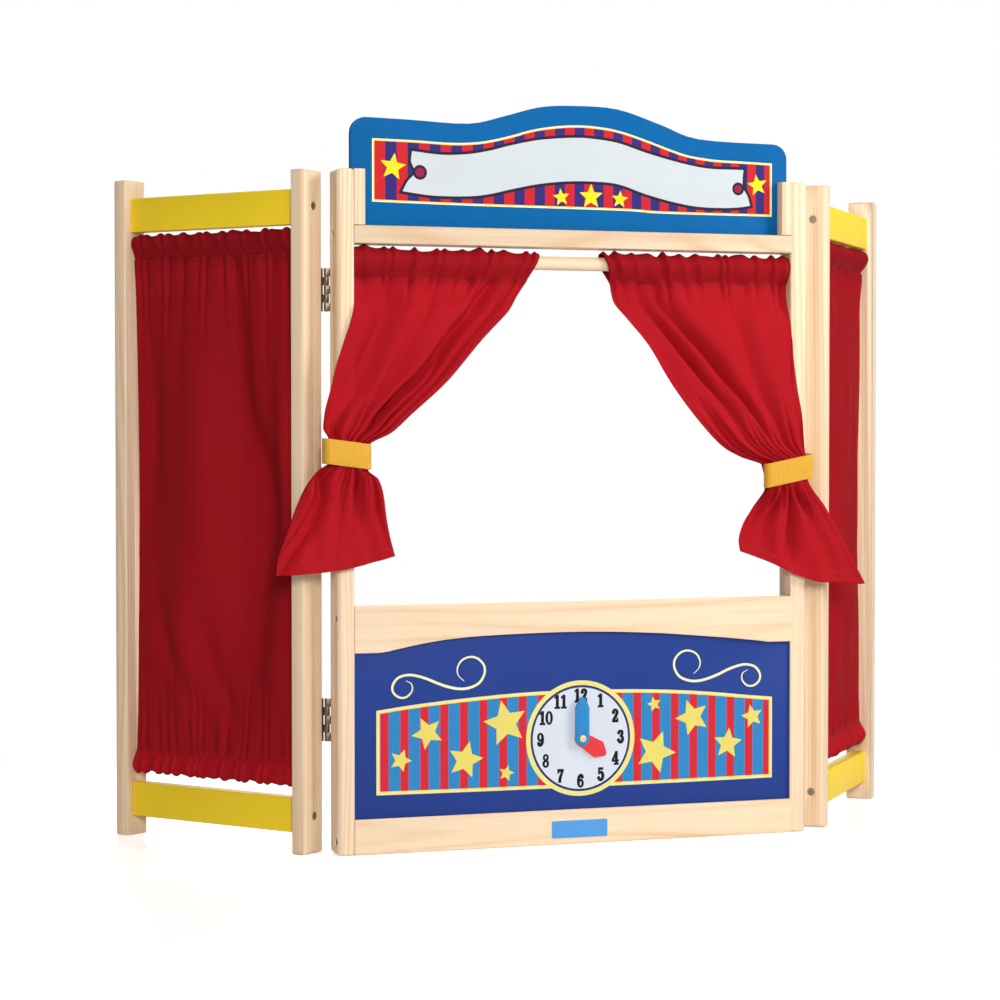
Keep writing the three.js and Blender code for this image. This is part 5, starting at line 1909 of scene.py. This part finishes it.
class THEATER_OT_clock_hands(bpy.types.Operator):
    """Finish the clock's hands and its pin"""

    bl_idname = "theater.clock_hands"
    bl_label = "Clock hands"

    def execute(self, context):
        settings = colours()
        blue = material("blue_plastic", plastic, tuple(settings.minute_hand))
        red = material("red_plastic", plastic, tuple(settings.hour_hand))
        dressed("minute_hand", blue, hand_edge_round)
        dressed("hour_hand", red, hand_edge_round)
        dressed("clock_pin", pin_brass(), pin_edge_round)
        return {"FINISHED"}


class THEATER_OT_fasteners(bpy.types.Operator):
    """Finish the hinges and set all the screws"""

    bl_idname = "theater.fasteners"
    bl_label = "Hinges and screws"

    def execute(self, context):
        for side in ("left", "right"):
            for level in ("upper", "lower"):
                for part in ("stage_leaf", "wing_leaf", "pin"):
                    dressed(f"{side}_{level}_hinge_{part}", hinge_metal(), leaf_edge_round)
        tree, identifiers = screw_tree()
        frame_screw_pieces(tree, identifiers)
        hinge_screw_pieces(tree, identifiers)
        return {"FINISHED"}


class THEATER_OT_stage_curtains(bpy.types.Operator):
    """Hang the two tied-back curtains of the stage and their straps"""

    bl_idname = "theater.stage_curtains"
    bl_label = "Stage curtains"

    def execute(self, context):
        stage_curtain(-1, left_curtain)
        stage_curtain(1, right_curtain)
        tie_strap(-1)
        tie_strap(1)
        stitch_pieces(["stage"])
        return {"FINISHED"}


class THEATER_OT_wing_curtains(bpy.types.Operator):
    """Hang the gathered curtains of the wings"""

    bl_idname = "theater.wing_curtains"
    bl_label = "Wing curtains"

    def execute(self, context):
        for side, name in side_names.items():
            wing_curtain(side, wing_forms[name])
        stitch_pieces(["left_wing", "right_wing"])
        return {"FINISHED"}


# Studio

camera_place = (-0.8576, -2.2733, 0.3781)
camera_turn = (math.radians(88.38), 0, math.radians(-19.04))
sensor_width = 36
view_reach = 100
room_reach = 14
floor_cloud_scale = 3
floor_glow = 0.55
floor_fade = (0.45, 0.85)
key_light = {"name": "key", "place": (1.25, -1.05, 1.05), "size": 0.6, "power": 17}
fill_light = {"name": "fill", "place": (-0.8, -2.8, 1.1), "size": 0.7, "power": 54}
top_light = {"name": "top", "place": (0.0, -0.6, 2.6), "size": 1.2, "power": 15}
back_light = {"name": "back", "place": (0.8, 2.6, 1.4), "size": 1.4, "power": 34}
aim_point = (0, 0, 0.3)
ambient = 0.04


class THEATER_OT_studio(bpy.types.Operator):
    """Lay the pale floor, set the soft lights and place the camera"""

    bl_idname = "theater.studio"
    bl_label = "Studio"

    def execute(self, context):
        scene = context.scene
        scene.view_settings.view_transform = "Standard"
        lay_floor()
        light_world(scene)
        for settings in (key_light, fill_light, top_light, back_light):
            soft_light(**settings)
        lens = bpy.data.cameras.new("camera")
        lens.lens = sizes().camera_lens
        lens.sensor_width = sensor_width
        lens.clip_end = view_reach
        camera = bpy.data.objects.new("camera", lens)
        camera.location = camera_place
        camera.rotation_euler = camera_turn
        scene.collection.objects.link(camera)
        scene.camera = camera
        return {"FINISHED"}


def seen_by_eye(recipe):
    """1 where a ray comes from the camera, from a mirror or through glass."""
    path = recipe.node("LightPath").outputs
    either = recipe.math("MAXIMUM", path["Is Camera Ray"], path["Is Glossy Ray"])
    return recipe.math("MAXIMUM", either, path["Is Transmission Ray"])


def lay_floor():
    reach = room_reach
    mesh = bpy.data.meshes.new("floor")
    mesh.from_pydata(
        [(-reach, -reach, 0), (reach, -reach, 0), (reach, reach, 0), (-reach, reach, 0)],
        [], [(0, 1, 2, 3)])
    recipe = new_finish("pale_floor")
    cloudy = recipe.noise(recipe.object_place(), floor_cloud_scale, 2)
    colour = tuple(colours().floor)
    tone = recipe.mix(recipe.between(cloudy, 0.3, 0.7, 0, 0.1), colour, darker(colour, 0.97))
    shader = recipe.node("BsdfPrincipled", {
        "Base Color": tone, "Roughness": 0.3, "Specular IOR Level": 0.4})
    seen = seen_by_eye(recipe)
    glow = recipe.node("Emission", {
        "Color": (1, 1, 1), "Strength": recipe.math("MULTIPLY", seen, floor_glow)})
    lit = recipe.node("AddShader", {0: shader.outputs[0], 1: glow.outputs[0]})
    white = recipe.node("Emission", {"Color": (1, 1, 1), "Strength": 1.0})
    distance = recipe.node(
        "VectorMath", {0: recipe.object_place()}, operation="LENGTH").outputs["Value"]
    far = recipe.math("MULTIPLY", recipe.between(distance, *floor_fade), seen)
    faded = recipe.node("MixShader", {0: far, 1: lit.outputs[0], 2: white.outputs[0]})
    output = recipe.node("OutputMaterial", {"Surface": faded.outputs[0]})
    output.is_active_output = True
    mesh.materials.append(recipe.owner)
    floor = bpy.data.objects.new("floor", mesh)
    bpy.context.scene.collection.objects.link(floor)


def light_world(scene):
    recipe = Recipe(bpy.data.worlds.new("white_room"))
    seen = seen_by_eye(recipe)
    strength = recipe.math("ADD", ambient, recipe.math("MULTIPLY", seen, 1 - ambient))
    background = recipe.node("Background", {"Color": (1, 1, 1), "Strength": strength})
    output = recipe.node("OutputWorld", {"Surface": background.outputs[0]})
    output.is_active_output = True
    scene.world = recipe.owner


def soft_light(name, place, size, power):
    lamp = bpy.data.lights.new(name, "AREA")
    lamp.shape = "SQUARE"
    lamp.size = size
    lamp.energy = power
    holder = bpy.data.objects.new(name, lamp)
    holder.location = place
    towards = Vector(aim_point) - Vector(place)
    holder.rotation_euler = towards.to_track_quat("-Z", "Y").to_euler()
    bpy.context.scene.collection.objects.link(holder)


class THEATER_PT_panel(bpy.types.Panel):
    """Buttons and settings of the theater's looks"""

    bl_idname = "THEATER_PT_panel"
    bl_label = "Puppet theater"
    bl_space_type = "VIEW_3D"
    bl_region_type = "UI"
    bl_category = "Theater"

    def draw(self, context):
        for operator in operators:
            self.layout.operator(operator.bl_idname)
        for settings in (context.scene.theater_colours, context.scene.theater_sizes):
            column = self.layout.column()
            for name in settings.__annotations__:
                column.prop(settings, name)


operators = (
    THEATER_OT_studio,
    THEATER_OT_stage_wood,
    THEATER_OT_painted_rails,
    THEATER_OT_sign,
    THEATER_OT_apron,
    THEATER_OT_clock_hands,
    THEATER_OT_fasteners,
    THEATER_OT_stage_curtains,
    THEATER_OT_wing_curtains,
)
classes = (TheaterColours, TheaterSizes, *operators, THEATER_PT_panel)


def register():
    for item in classes:
        bpy.utils.register_class(item)
    bpy.types.Scene.theater_colours = PointerProperty(type=TheaterColours)
    bpy.types.Scene.theater_sizes = PointerProperty(type=TheaterSizes)


def unregister():
    del bpy.types.Scene.theater_sizes
    del bpy.types.Scene.theater_colours
    for item in reversed(classes):
        bpy.utils.unregister_class(item)


def main():
    register()
    bpy.ops.theater.studio()
    bpy.ops.theater.stage_wood()
    bpy.ops.theater.painted_rails()
    bpy.ops.theater.sign()
    bpy.ops.theater.apron()
    bpy.ops.theater.clock_hands()
    bpy.ops.theater.fasteners()
    bpy.ops.theater.stage_curtains()
    bpy.ops.theater.wing_curtains()


if __name__ == "__main__":
    main()
